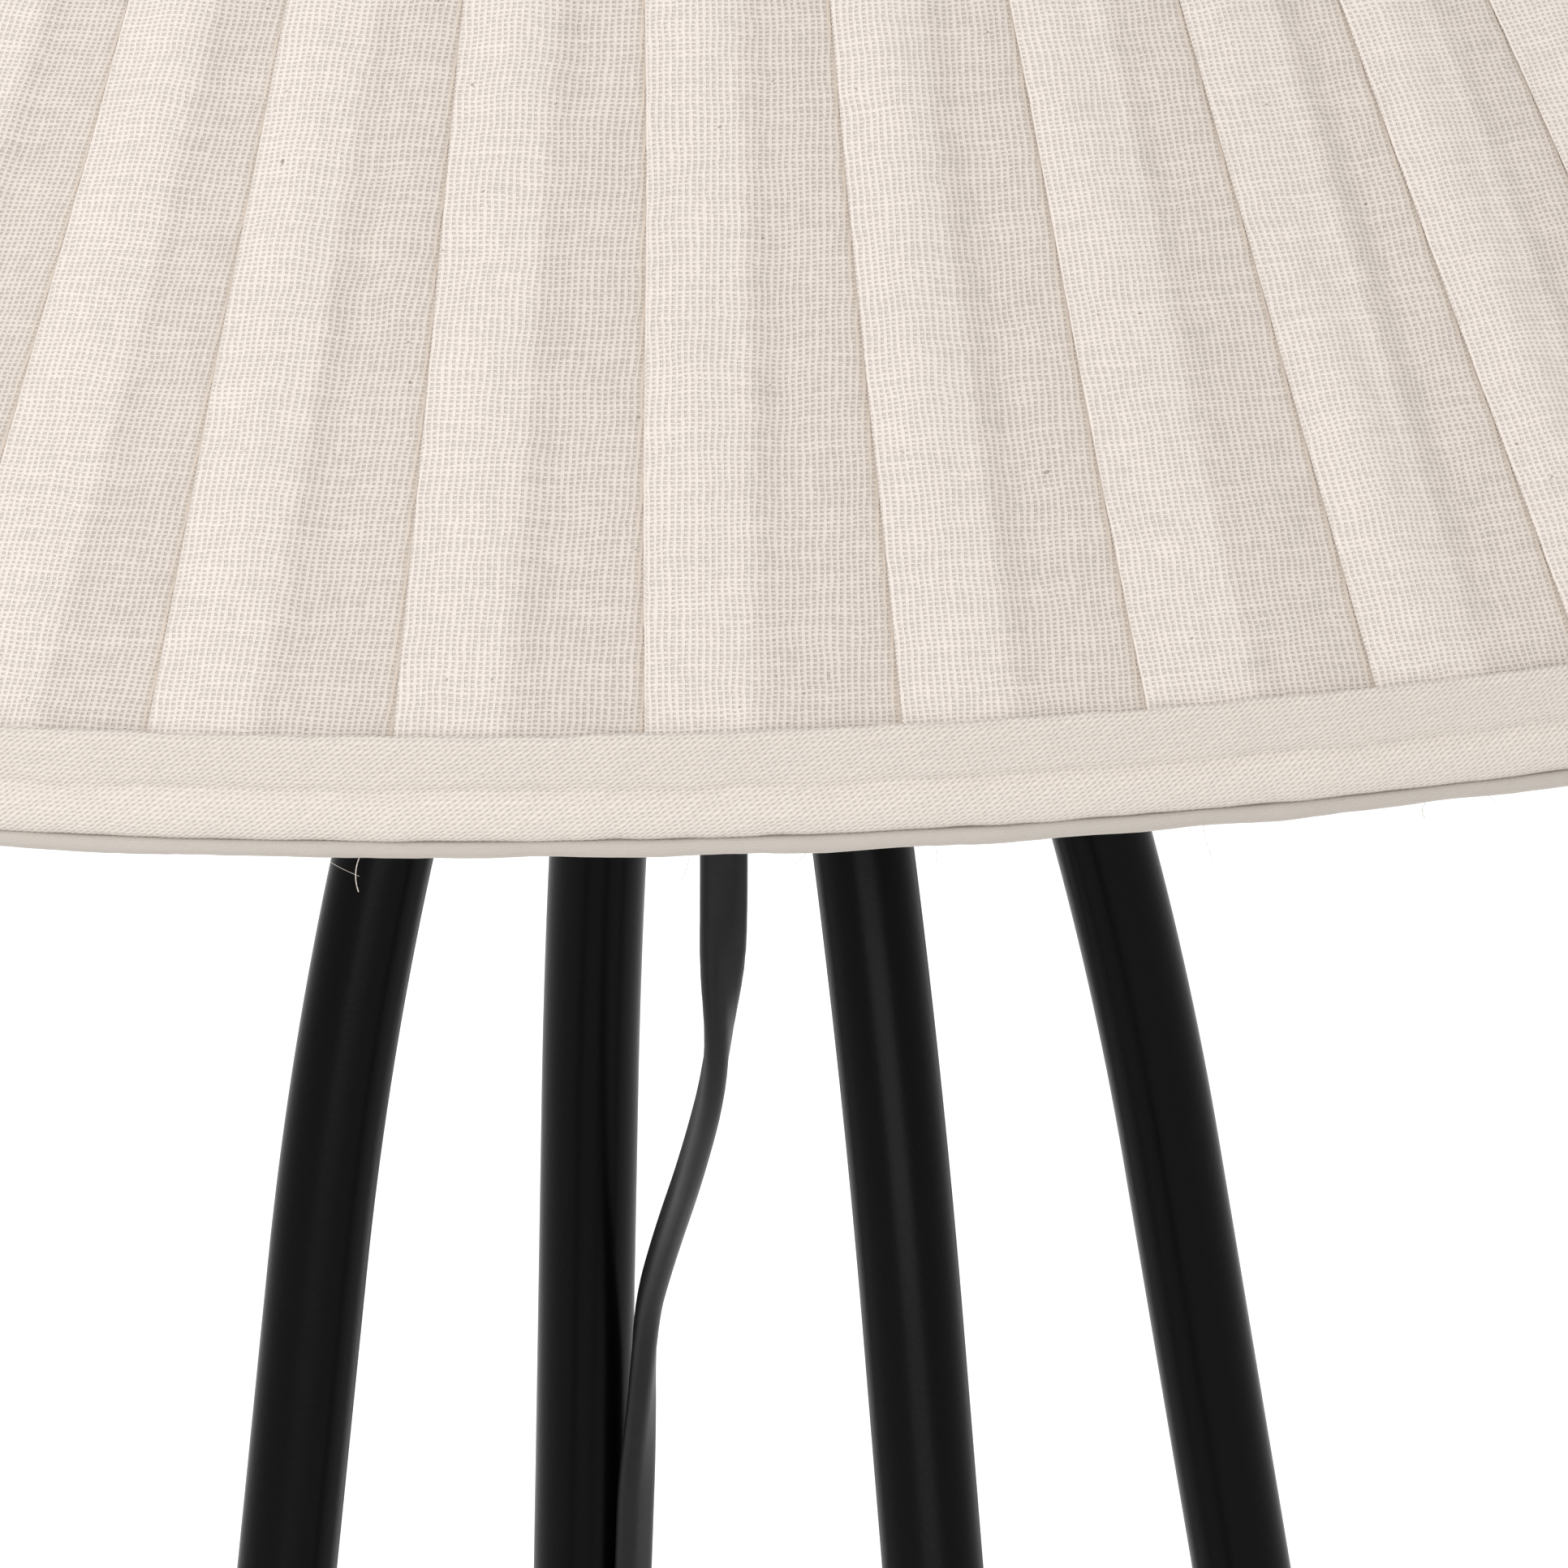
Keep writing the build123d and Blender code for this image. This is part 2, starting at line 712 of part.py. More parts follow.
with BuildPart() as switch_cover:
    with BuildSketch(Plane.XY.offset(switch_split + 0.1)):
        with Locations((switch_x, switch_y)):
            SlotOverall(switch_length, switch_width)
    extrude(amount=switch_height - switch_split - 0.1)
    fillet(switch_cover.faces().sort_by(Axis.Z)[-1].edges(), radius=5)
    with BuildSketch(Plane.XY.offset(switch_split + 0.1)):
        with Locations((switch_x, switch_y)):
            SlotOverall(switch_length - 2 * switch_wall - 4, switch_width - 2 * switch_wall - 2)
    extrude(amount=switch_height - switch_split - 2.1, mode=Mode.SUBTRACT)
    with BuildSketch(Plane.XY.offset(switch_split)):
        with Locations((switch_x, switch_y)):
            Circle(button_radius + 0.15)
    extrude(amount=switch_height, mode=Mode.SUBTRACT)
save(switch_cover, "switch_cover")

button_floor = 12.0
with BuildPart() as button:
    with BuildSketch(Plane.XY.offset(button_floor)):
        with Locations((switch_x, switch_y)):
            Circle(button_radius)
    extrude(amount=switch_height + 4 - button_floor)
    fillet(button.faces().sort_by(Axis.Z)[-1].edges(), radius=2.5)
    with BuildSketch(Plane.XY.offset(button_floor)):
        with Locations((switch_x, switch_y)):
            Circle(button_radius - 2.5)
            Circle(3, mode=Mode.SUBTRACT)
    extrude(amount=switch_height + 1.5 - button_floor, mode=Mode.SUBTRACT)
    with BuildSketch(Plane.XY.offset(button_floor)):
        with Locations((switch_x - button_radius + 1, switch_y), (switch_x + button_radius - 1, switch_y)):
            Rectangle(4, 5)
    extrude(amount=2)
save(button, "switch_button")

mechanism_top = 8.4
with BuildPart() as mechanism:
    with BuildSketch(Plane.XY.offset(2.55)):
        with Locations((switch_x, switch_y)):
            Rectangle(30, 20)
    extrude(amount=mechanism_top - 2.55)
save(mechanism, "switch_mechanism")

with BuildPart() as switch_spring:
    with BuildSketch(Plane.XY.offset(mechanism_top + 0.05)):
        with Locations((switch_x, switch_y)):
            Circle(6)
            Circle(5, mode=Mode.SUBTRACT)
    extrude(amount=switch_height + 1.4 - mechanism_top - 0.05)
save(switch_spring, "switch_spring")

terminal_offset = 24.0
with BuildPart() as switch_terminals:
    with BuildSketch(Plane.XY.offset(2.55)):
        with Locations((switch_x - terminal_offset, switch_y), (switch_x + terminal_offset, switch_y)):
            with GridLocations(0.01, 12, 1, 2):
                Rectangle(8, 5)
    extrude(amount=5.5)
save(switch_terminals, "switch_terminals")

with BuildPart() as switch_screws:
    with BuildSketch(Plane.XY.offset(2.55)):
        with Locations((switch_x - 35, switch_y + 8), (switch_x + 35, switch_y - 8)):
            Circle(1.5)
    extrude(amount=9)
    with BuildSketch(Plane.XY.offset(2.55)):
        with Locations((switch_x - 35, switch_y + 8), (switch_x + 35, switch_y - 8)):
            Circle(2.8)
    extrude(amount=1.6)
save(switch_screws, "switch_screws")

for grommet_name, direction in (("switch_inlet_grommet", -1), ("switch_outlet_grommet", 1)):
    grommet_root = switch_x + direction * (switch_length / 2 - 0.05)
    grommet_plane = Plane(
        origin=(grommet_root, switch_y, switch_cord_height),
        x_dir=(0, 1, 0),
        z_dir=(direction, 0, 0),
    )
    with BuildPart() as grommet:
        with BuildSketch(grommet_plane.offset(0.1)) as grommet_start:
            Circle(4.5)
        with BuildSketch(grommet_plane.offset(grommet_length + 0.05)) as grommet_end:
            Circle(3.0)
        loft()
    save(grommet, grommet_name)

# ---------------------------------------------------------------- plug
plug_middle = plug_thickness / 2
plug_plane = Plane(origin=(plug_x, plug_y, plug_middle), x_dir=(0, 1, 0), z_dir=(-1, 0, 0))
with BuildPart() as plug_body:
    with BuildSketch(plug_plane):
        RectangleRounded(16, 12, 4)
    with BuildSketch(plug_plane.offset(plug_length * 0.45)):
        RectangleRounded(30, plug_thickness, 5)
    with BuildSketch(plug_plane.offset(plug_length)):
        RectangleRounded(35.3, plug_thickness, 5)
    loft(ruled=True)
save(plug_body, "plug_body")

with BuildPart() as plug_pins:
    with BuildSketch(plug_plane.offset(plug_length)):
        with Locations((-pin_spacing / 2, 0), (pin_spacing / 2, 0)):
            Circle(pin_radius)
    extrude(amount=pin_length)
    fillet(plug_pins.faces().sort_by(Axis.X)[:2].edges(), radius=1.2)
save(plug_pins, "plug_pins")

relief_plane = Plane(origin=(plug_x, plug_y, plug_middle), x_dir=(0, 1, 0), z_dir=(1, 0, 0))
with BuildPart() as relief:
    with BuildSketch(relief_plane.offset(0.05)):
        Circle(5.0)
    with BuildSketch(relief_plane.offset(plug_relief)):
        Circle(3.0)
    loft()
save(relief, "plug_relief")
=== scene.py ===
"""A floor lamp on four black tube legs with a knife-pleated cone shade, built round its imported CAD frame."""

import json
import math
import random

import bpy
from mathutils import Matrix, Vector, noise


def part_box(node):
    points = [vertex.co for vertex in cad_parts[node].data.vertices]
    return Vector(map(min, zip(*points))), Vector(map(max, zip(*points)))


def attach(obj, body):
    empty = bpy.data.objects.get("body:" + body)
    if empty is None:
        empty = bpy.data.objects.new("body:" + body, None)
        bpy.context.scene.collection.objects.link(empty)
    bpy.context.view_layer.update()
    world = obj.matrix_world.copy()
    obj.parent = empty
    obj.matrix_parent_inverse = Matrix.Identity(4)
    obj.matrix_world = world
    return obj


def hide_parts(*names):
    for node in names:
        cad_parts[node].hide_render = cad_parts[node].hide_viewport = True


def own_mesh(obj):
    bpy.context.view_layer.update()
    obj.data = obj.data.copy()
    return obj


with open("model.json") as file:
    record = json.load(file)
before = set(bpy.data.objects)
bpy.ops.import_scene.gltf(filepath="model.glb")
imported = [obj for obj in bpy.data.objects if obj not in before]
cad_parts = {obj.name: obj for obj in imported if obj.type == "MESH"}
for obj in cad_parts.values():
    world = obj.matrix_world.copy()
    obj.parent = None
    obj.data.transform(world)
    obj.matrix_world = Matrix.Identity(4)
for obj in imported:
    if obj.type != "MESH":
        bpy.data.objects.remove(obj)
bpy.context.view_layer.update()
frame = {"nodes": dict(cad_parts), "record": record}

# ---------------------------------------------------------------- camera and main light
CAMERA_TURN = 24.8  # degrees from the front towards the right
CAMERA_AZIMUTH = math.radians(CAMERA_TURN)
CAMERA_DISTANCE = 2.125
CAMERA_ABOVE_RIM = 0.4975
CAMERA_PITCH = math.radians(15.01)
CAMERA_YAW = math.radians(-0.162)
CAMERA_ROLL = math.radians(-1.826)
CAMERA_LENS = 419.8  # millimetres, as is the sensor's width
SENSOR_WIDTH = 36
KEY_TURN = -48  # degrees from the camera round to the soft main light, which is on the left

# ---------------------------------------------------------------- sizes, in metres
MM = 0.001
UP = Vector((0, 0, 1))
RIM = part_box("hem_band")[1].z
HEM_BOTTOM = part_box("hem_band")[0].z
STRIP_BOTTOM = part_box("hem_under_strip")[0].z
SHADE_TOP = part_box("shade_cover")[1].z

SHADE_RADIUS = 250 * MM
TOP_RADIUS = 70 * MM
SHADE_HEIGHT = SHADE_TOP - RIM
CONE_APEX = SHADE_HEIGHT / (1 - TOP_RADIUS / SHADE_RADIUS)
CONE_ANGLE = math.atan(SHADE_RADIUS / CONE_APEX)
SLANT = math.hypot(SHADE_RADIUS - TOP_RADIUS, SHADE_HEIGHT)
BAND_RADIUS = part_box("hem_band")[1].x
HEM_STEPS = 1440  # points round the hem's tapes
LINING_DEPTH = 5.6 * MM  # in from the cone

# The pleats, in millimetres.
PLEATS = 60
LAP_AT_HEM = 11.8
LAP_AT_TOP = 7.0
CLOTH_STEP = 41.3  # between one pleat's threads and the next one's, on the cloth's map
FIRST_PLEAT = math.radians(-90 + CAMERA_TURN - 2.27)  # the fold just left of the camera's own direction
# How far the folds on the camera's side are out of step, in pleats, counted from that first one.
NEAR_SHIFTS = {-3: 0.03, -2: -0.03, -1: 0.0, 0: 0.03, 1: 0.08, 2: 0.09, 3: 0.06, 4: -0.024, 5: -0.138}

LEG_RADIUS = 6 * MM
LEG_SPLAY = math.radians(8.2)
LEG_TOP_ANGLE = math.radians(24.1)
LEG_BEND_RADIUS = 426.4 * MM
KNEE_RADIUS = 46.8 * MM
KNEE_DROP = 66.4 * MM
SOCKET_DEPTH = 26 * MM
LEG_ANGLES = {"leg_back_right": 45, "leg_back_left": 135, "leg_front_left": 225, "leg_front_right": 315}

FLEX_WIDTH = 5.8 * MM
FLEX_THICKNESS = 3.2 * MM
FLOOR_GAP = 0.1 * MM


def make_camera():
    """A long lens from the front right and a little above the hem, level but for a slight roll."""
    camera = bpy.data.objects.new("Camera", bpy.data.cameras.new("Camera"))
    bpy.context.collection.objects.link(camera)
    camera.data.sensor_width = SENSOR_WIDTH
    camera.data.lens = CAMERA_LENS
    camera.data.clip_start = 0.05
    camera.data.clip_end = 60
    turn = Matrix.Rotation(CAMERA_AZIMUTH, 3, "Z")
    right = Vector((math.cos(CAMERA_YAW), math.sin(CAMERA_YAW), 0))
    level = Vector((-math.sin(CAMERA_YAW), math.cos(CAMERA_YAW), 0))
    ahead = level * math.cos(CAMERA_PITCH) - UP * math.sin(CAMERA_PITCH)
    up = right.cross(ahead)
    x_axis = right * math.cos(CAMERA_ROLL) + up * math.sin(CAMERA_ROLL)
    y_axis = up * math.cos(CAMERA_ROLL) - right * math.sin(CAMERA_ROLL)
    axes = Matrix((turn @ x_axis, turn @ y_axis, turn @ -ahead)).transposed()
    place = turn @ Vector((0, -CAMERA_DISTANCE, 0)) + Vector((0, 0, RIM + CAMERA_ABOVE_RIM))
    camera.matrix_world = Matrix.Translation(place) @ axes.to_4x4()
    bpy.context.scene.camera = camera


# ---------------------------------------------------------------- helpers
def smoothstep(low, high, value):
    t = min(max((value - low) / (high - low), 0), 1)
    return t * t * (3 - 2 * t)


def mix(a, b, t):
    return a + (b - a) * t


def ring_point(radius, angle, height):
    """A point round the lamp's own axis."""
    return Vector((radius * math.cos(angle), radius * math.sin(angle), height))


def ring_noise(angle, scale, seed):
    """Smooth noise round a ring, with no seam."""
    return noise.noise(ring_point(scale, angle, seed))


def mesh_object(name, vertices, faces, body, replaced, slot, finish=None):
    """A new piece from vertices and faces, riding on a body. Its material is the slot's own, or finish."""
    mesh = bpy.data.meshes.new(name)
    mesh.from_pydata([tuple(v) for v in vertices], [], faces)
    mesh.validate()
    mesh.shade_smooth()
    mesh.materials.append(MATERIALS[finish or slot])
    piece = bpy.data.objects.new(name, mesh)
    bpy.context.collection.objects.link(piece)
    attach(piece, body)
    if replaced:
        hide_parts(*replaced)
    return piece


def ring_faces(rings, sides, closed=False, start=0):
    """Quads between rings of vertices. closed joins the last ring to the first one too."""
    faces = []
    for i in range(rings if closed else rings - 1):
        for j in range(sides):
            a = i * sides + j
            b = i * sides + (j + 1) % sides
            c = (i + 1) % rings * sides + (j + 1) % sides
            d = (i + 1) % rings * sides + j
            faces.append((start + a, start + b, start + c, start + d))
    return faces


def end_caps(rings, sides):
    """The faces that close a tube of rings at its two ends."""
    last = (rings - 1) * sides
    return [tuple(reversed(range(sides))), tuple(range(last, last + sides))]


# ---------------------------------------------------------------- materials
def scaled(colour, factor):
    """A lighter or darker colour, kept under full white."""
    return [min(c * factor, 1) for c in colour]


class Finish:
    """One procedural material, with short names for the nodes that make it."""

    def __init__(self, name, colour, roughness, metallic=0.0, specular=0.5):
        self.material = bpy.data.materials.new(name)
        self.material.use_nodes = True
        self.material.diffuse_color = (*colour, 1)
        self.tree = self.material.node_tree
        self.shader = self.tree.nodes["Principled BSDF"]
        self.set("Base Color", (*colour, 1))
        self.set("Roughness", roughness)
        self.set("Metallic", metallic)
        self.set("Specular IOR Level", specular)

    def set(self, name, value):
        self.put(self.shader.inputs[name], value)

    def put(self, socket, value):
        if isinstance(value, bpy.types.NodeSocket):
            self.tree.links.new(value, socket)
        else:
            socket.default_value = value

    def add(self, kind, inputs=(), **settings):
        made = self.tree.nodes.new(kind)
        for key, value in settings.items():
            setattr(made, key, value)
        for key, value in dict(inputs).items():
            self.put(made.inputs[key], value)
        return made

    def math(self, operation, a, b=0.0):
        return self.add("ShaderNodeMath", {0: a, 1: b}, operation=operation).outputs[0]

    def plus(self, a, b):
        return self.math("ADD", a, b)

    def minus(self, a, b):
        return self.math("SUBTRACT", a, b)

    def times(self, a, b):
        return self.math("MULTIPLY", a, b)

    def over(self, a, b):
        return self.math("DIVIDE", a, b)

    def wave(self, turns):
        """A sine wave of one hump for each whole number."""
        return self.math("SINE", self.times(turns, math.pi))

    def range(self, value, low, high, to_low=0.0, to_high=1.0):
        sockets = {"Value": value, "From Min": low, "From Max": high, "To Min": to_low, "To Max": to_high}
        return self.add("ShaderNodeMapRange", sockets).outputs[0]

    def blend(self, factor, a, b):
        first, second = [c if isinstance(c, bpy.types.NodeSocket) else (*c, 1) for c in (a, b)]
        return self.add("ShaderNodeMix", {0: factor, 6: first, 7: second}, data_type="RGBA").outputs[2]

    def place(self):
        return self.add("ShaderNodeTexCoord").outputs["Object"]

    def vector(self, x, y, z=0.0):
        return self.add("ShaderNodeCombineXYZ", {0: x, 1: y, 2: z}).outputs[0]

    def noise(self, vector, scale, detail=2.0, roughness=0.5):
        sockets = {"Vector": vector, "Scale": scale, "Detail": detail, "Roughness": roughness}
        return self.add("ShaderNodeTexNoise", sockets).outputs["Fac"]

    def bump(self, height, distance, below=None):
        sockets = {"Height": height, "Distance": distance}
        if below is not None:
            sockets["Normal"] = below
        return self.add("ShaderNodeBump", sockets).outputs["Normal"]

    def threads(self):
        """The cloth's own coordinates, in millimetres along its threads."""
        cloth_map = self.add("ShaderNodeUVMap", uv_map="threads").outputs[0]
        split = self.add("ShaderNodeSeparateXYZ", {0: cloth_map})
        return split.outputs[0], split.outputs[1]

    def tag(self, name):
        """A number that the mesh stores at each vertex."""
        return self.add("ShaderNodeAttribute", attribute_name=name).outputs["Fac"]


def speckled(
    name, colour, roughness, metallic=0.0, specular=0.5, grain=900, depth=0.03, wear=0.12, tint=0.15
):
    """A hard material: fine grain in its surface, uneven gloss, and slight changes of shade."""
    finish = Finish(name, colour, roughness, metallic, specular)
    place = finish.place()
    patches = finish.noise(place, 35, 4)
    fine = finish.noise(place, grain, 3)
    smoother = roughness * (1 - wear)
    rougher = min(roughness * (1 + wear), 1)
    finish.set("Roughness", finish.range(patches, 0.3, 0.7, smoother, rougher))
    shades = finish.blend(finish.range(fine, 0.3, 0.7), scaled(colour, 1 - tint), scaled(colour, 1 + tint))
    finish.set("Base Color", shades)
    finish.set("Normal", finish.bump(fine, depth * MM))
    return finish.material


def plain_weave(name, bright, thin, across=0.72, along=0.55, depth=0.12, contrast=0.83, layered=False):
    """An open plain weave of uneven spun yarns, whose threads are across and along apart in millimetres.

    thin is its colour where only one layer lies over the lining.
    """
    finish = Finish(name, bright, 0.9, specular=0.18)
    x, y = finish.threads()
    flat = finish.vector(x, y)
    drift = finish.minus(finish.noise(flat, 0.12, 3), 0.5)
    sway = finish.minus(finish.noise(flat, 0.9, 2), 0.5)
    # a counts the threads that run up the cloth, and b those that run across it.
    wander_a = finish.plus(finish.times(drift, 1.6), finish.times(sway, 0.35))
    wander_b = finish.minus(finish.times(sway, 0.6), finish.times(drift, 2.2))
    a = finish.plus(finish.over(x, across), wander_a)
    b = finish.plus(finish.over(y, along), wander_b)
    wave_a = finish.wave(a)
    wave_b = finish.wave(b)
    crossing = finish.times(finish.times(wave_a, wave_b), 0.16)
    # Each thread has thick and thin stretches, and between threads there are open squares.
    slub_a = finish.noise(finish.vector(finish.math("FLOOR", a), finish.times(b, 0.05)), 3.1, 2)
    slub_b = finish.noise(finish.vector(finish.times(a, 0.035), finish.math("FLOOR", b), 7.0), 2.7, 2)
    edge_a = finish.range(slub_a, 0.3, 0.7, 0.58, 0.34)
    edge_b = finish.range(slub_b, 0.3, 0.7, 0.6, 0.32)
    yarn_a = finish.times(finish.minus(finish.math("ABSOLUTE", wave_a), edge_a), 2.6)
    yarn_b = finish.times(finish.minus(finish.math("ABSOLUTE", wave_b), edge_b), 2.6)
    high_a = finish.plus(finish.math("MINIMUM", yarn_a, 0.85), crossing)
    high_b = finish.minus(finish.math("MINIMUM", yarn_b, 0.85), crossing)
    height = finish.math("MAXIMUM", finish.math("MAXIMUM", high_a, high_b), 0.0)
    fibre = finish.noise(flat, 9, 4, 0.65)
    shade = finish.plus(finish.range(height, 0.0, 0.9, 0.0, 0.78), finish.times(fibre, 0.42))
    streak_a = finish.range(slub_a, 0.3, 0.7, -0.06, 0.06)
    streak_b = finish.range(slub_b, 0.3, 0.7, -0.09, 0.09)
    tone = finish.range(finish.plus(shade, finish.plus(streak_a, streak_b)), 0.1, 1.1)
    colour = finish.blend(tone, scaled(bright, contrast), scaled(bright, 1.10))
    if layered:
        sheer = finish.blend(tone, scaled(thin, contrast - 0.06), scaled(thin, 1.12))
        colour = finish.blend(finish.tag("layers"), sheer, colour)
        # Painted shade: a tan tint in the groove beside each folded edge, read from the mesh's crease
        # attribute.
        colour = finish.blend(finish.times(finish.tag("crease"), 0.4), colour, FOLD_SHADE_TAN)
    specks = finish.range(finish.noise(flat, 0.85, 1), 0.775, 0.80)
    finish.set("Base Color", finish.blend(finish.times(specks, 0.55), colour, SEED_BROWN))
    finish.set("Sheen Weight", 0.12)
    fuzz = finish.bump(fibre, 0.05 * MM)
    finish.set("Normal", finish.bump(height, depth * MM, fuzz))
    return finish.material


def twill(name, colour, rib=0.78, depth=0.16, shadow=0.72, dim=0.94):
    """Fine twill tape: slanting ribs, rib apart in millimetres, broken into short stitches of yarn.

    Above its crease the tape is mixed with its shadow's colour, by as much as dim is under 1.
    """
    finish = Finish(name, colour, 0.86, specular=0.2)
    x, y = finish.threads()
    flat = finish.vector(x, y)
    sway = finish.minus(finish.noise(flat, 0.7, 3), 0.5)
    slant = finish.plus(finish.over(finish.plus(x, finish.times(y, 1.35)), rib), sway)
    stitch = finish.plus(finish.over(y, rib * 0.62), sway)
    ribs = finish.math("ABSOLUTE", finish.wave(slant))
    picks = finish.math("ABSOLUTE", finish.wave(stitch))
    fibre = finish.noise(flat, 8, 4, 0.65)
    height = finish.plus(finish.times(ribs, 0.6), finish.times(picks, 0.4))
    tone = finish.range(finish.plus(finish.times(height, 0.75), finish.times(fibre, 0.45)), 0.1, 1.0)
    yarns = finish.blend(tone, scaled(colour, shadow), scaled(colour, 1.05))
    soiled = finish.range(finish.noise(flat, 0.05, 3), 0.35, 0.75, 0.0, 0.14)
    aged = finish.blend(soiled, yarns, scaled(colour, 0.86))
    dimmed = finish.times(finish.range(y, 4.6, 6.8, 1.0, 0.0), 1 - dim)
    finish.set("Base Color", finish.blend(dimmed, aged, TAPE_SHADOW))
    finish.set("Sheen Weight", 0.12)
    fuzz = finish.bump(fibre, 0.04 * MM)
    finish.set("Normal", finish.bump(height, depth * MM, fuzz))
    return finish.material


def hooked_strap(name, colour):
    """A black hook-and-loop strap: a mat of tiny loops."""
    finish = Finish(name, colour, 0.95, specular=0.15)
    loops = finish.noise(finish.place(), 2600, 4, 0.7)
    shades = finish.blend(finish.range(loops, 0.3, 0.7), scaled(colour, 0.5), scaled(colour, 1.9))
    finish.set("Base Color", shades)
    finish.set("Normal", finish.bump(loops, 0.25 * MM))
    return finish.material


BRIGHT_CLOTH = (0.645, 0.584, 0.534)
THIN_CLOTH = (0.58, 0.52, 0.472)
BRIGHT_LINING = (0.74, 0.69, 0.63)
THIN_LINING = (0.70, 0.65, 0.59)
TAPE = (0.695, 0.63, 0.568)
# The hem tape's own colour at about two thirds: painted shade for the strip turned in under the hem.
SHADED_STRIP = (0.47, 0.428, 0.385)
# The tan of the painted shade in the groove beside each pleat's folded edge.
FOLD_SHADE_TAN = (0.50, 0.40, 0.30)
SEED_BROWN = (0.16, 0.11, 0.07)
TAPE_SHADOW = (0.2, 0.17, 0.14)

# One material for each of the record's slots, and strip_tape for the tape that is turned in under the hem, in
# painted shade.
MATERIALS = {
    "leg_paint": speckled(
        "satin black powder coat", (0.0014, 0.0014, 0.0015), 0.3, specular=0.07, grain=1500, depth=0.02
    ),
    "foot_rubber": speckled(
        "matt rubber", (0.018, 0.018, 0.018), 0.85, specular=0.25, grain=700, depth=0.05
    ),
    "holder_black": speckled(
        "satin black plastic", (0.018, 0.018, 0.019), 0.42, specular=0.35, grain=1100, depth=0.02
    ),
    "bush_rubber": speckled(
        "soft black rubber", (0.016, 0.016, 0.016), 0.7, specular=0.3, grain=900, depth=0.03
    ),
    "porcelain": speckled("glazed ceramic", (0.8, 0.79, 0.75), 0.16, grain=300, depth=0.01, tint=0.03),
    "zinc_steel": speckled(
        "zinc-plated steel", (0.6, 0.61, 0.63), 0.34, metallic=1.0, grain=1300, depth=0.01
    ),
    "nylon": speckled("natural nylon", (0.72, 0.71, 0.67), 0.5, grain=600, depth=0.02, tint=0.05),
    "brass": speckled("brass", (0.68, 0.5, 0.22), 0.3, metallic=1.0, grain=900, depth=0.01),
    "spring_steel": speckled("spring steel", (0.5, 0.5, 0.52), 0.3, metallic=1.0, grain=1300, depth=0.01),
    "frame_wire": speckled(
        "white epoxy coat", (0.74, 0.73, 0.70), 0.4, specular=0.4, grain=800, depth=0.03, tint=0.04
    ),
    "shade_cloth": plain_weave("open plain-weave cotton", BRIGHT_CLOTH, THIN_CLOTH, layered=True),
    "lining_cloth": plain_weave(
        "smooth cotton lining", BRIGHT_LINING, THIN_LINING, across=0.34, along=0.34, depth=0.05, contrast=0.88
    ),
    "trim_tape": twill("cream twill tape", TAPE),
    "strip_tape": twill("turned-in tape in painted shade", SHADED_STRIP, rib=0.4, depth=0.04, shadow=0.9, dim=1.0),
    "bulb_shell": speckled(
        "white moulded plastic", (0.8, 0.8, 0.78), 0.32, grain=700, depth=0.006, wear=0.04, tint=0.01
    ),
    "bulb_diffuser": speckled(
        "opal diffuser", (0.86, 0.86, 0.83), 0.5, grain=900, depth=0.004, wear=0.03, tint=0.01
    ),
    "bulb_metal": speckled(
        "rolled aluminium", (0.72, 0.72, 0.73), 0.32, metallic=1.0, grain=1200, depth=0.015
    ),
    "bulb_insulation": speckled("black insulator", (0.02, 0.02, 0.022), 0.25, grain=900, depth=0.01),
    "flex_pvc": speckled(
        "black flex", (0.008, 0.008, 0.0082), 0.42, specular=0.2, grain=520, depth=0.035
    ),
    "tie_velcro": hooked_strap("black hook-and-loop strap", (0.022, 0.022, 0.022)),
    "switch_plastic": speckled(
        "fine-grained black plastic", (0.02, 0.02, 0.02), 0.55, specular=0.35, grain=1400, depth=0.045
    ),
    "button_plastic": speckled(
        "satin grey-black plastic", (0.035, 0.035, 0.036), 0.4, specular=0.4, grain=1100, depth=0.02
    ),
    "plug_pvc": speckled(
        "moulded black flex plug", (0.019, 0.019, 0.019), 0.5, specular=0.32, grain=1000, depth=0.035
    ),
    "plug_metal": speckled(
        "nickel-plated brass", (0.7, 0.68, 0.64), 0.2, metallic=1.0, grain=1200, depth=0.008
    ),
}


# ---------------------------------------------------------------- cords
# The CAD route's points, in metres.
CORD_ROUTE = [
    (0.0, 0.0, 1.315),
    (-0.0008, 0.0011, 1.292),
    (-0.0027, 0.0032, 1.264),
    (-0.0044, 0.0054, 1.238),
    (-0.0077, 0.0093, 1.219),
    (-0.0166, 0.0202, 1.203),
    (-0.0262, 0.0317, 1.1885),
    (-0.0326, 0.0387, 1.1765),
    (-0.0354, 0.0422, 1.156),
    (-0.039, 0.0451, 1.125),
    (-0.0431, 0.0492, 1.085),
    (-0.0495, 0.057, 1.012),
    (-0.0564, 0.0644, 0.942),
    (-0.065, 0.0711, 0.87),
    (-0.0691, 0.0752, 0.83),
    (-0.0761, 0.0817, 0.757),
    (-0.0828, 0.0889, 0.688),
    (-0.091, 0.0971, 0.615),
    (-0.0951, 0.1012, 0.575),
    (-0.1017, 0.1093, 0.503),
    (-0.1086, 0.1161, 0.432),
    (-0.117, 0.1231, 0.36),
    (-0.121, 0.1272, 0.32),
    (-0.1281, 0.1343, 0.244),
    (-0.135, 0.1422, 0.176),
    (-0.1424, 0.1486, 0.11),
    (-0.1464, 0.1525, 0.071),
    (-0.1462, 0.1522, 0.046),
    (-0.1412, 0.1473, 0.025),
    (-0.1306, 0.1367, 0.0105),
    (-0.1158, 0.1218, 0.0037),
    (-0.1002, 0.1063, 0.0023),
    (-0.08, 0.09, 0.0023),
    (-0.057, 0.0764, 0.0025),
    (-0.036, 0.0705, 0.0041),
    (-0.021, 0.07, 0.005),
]
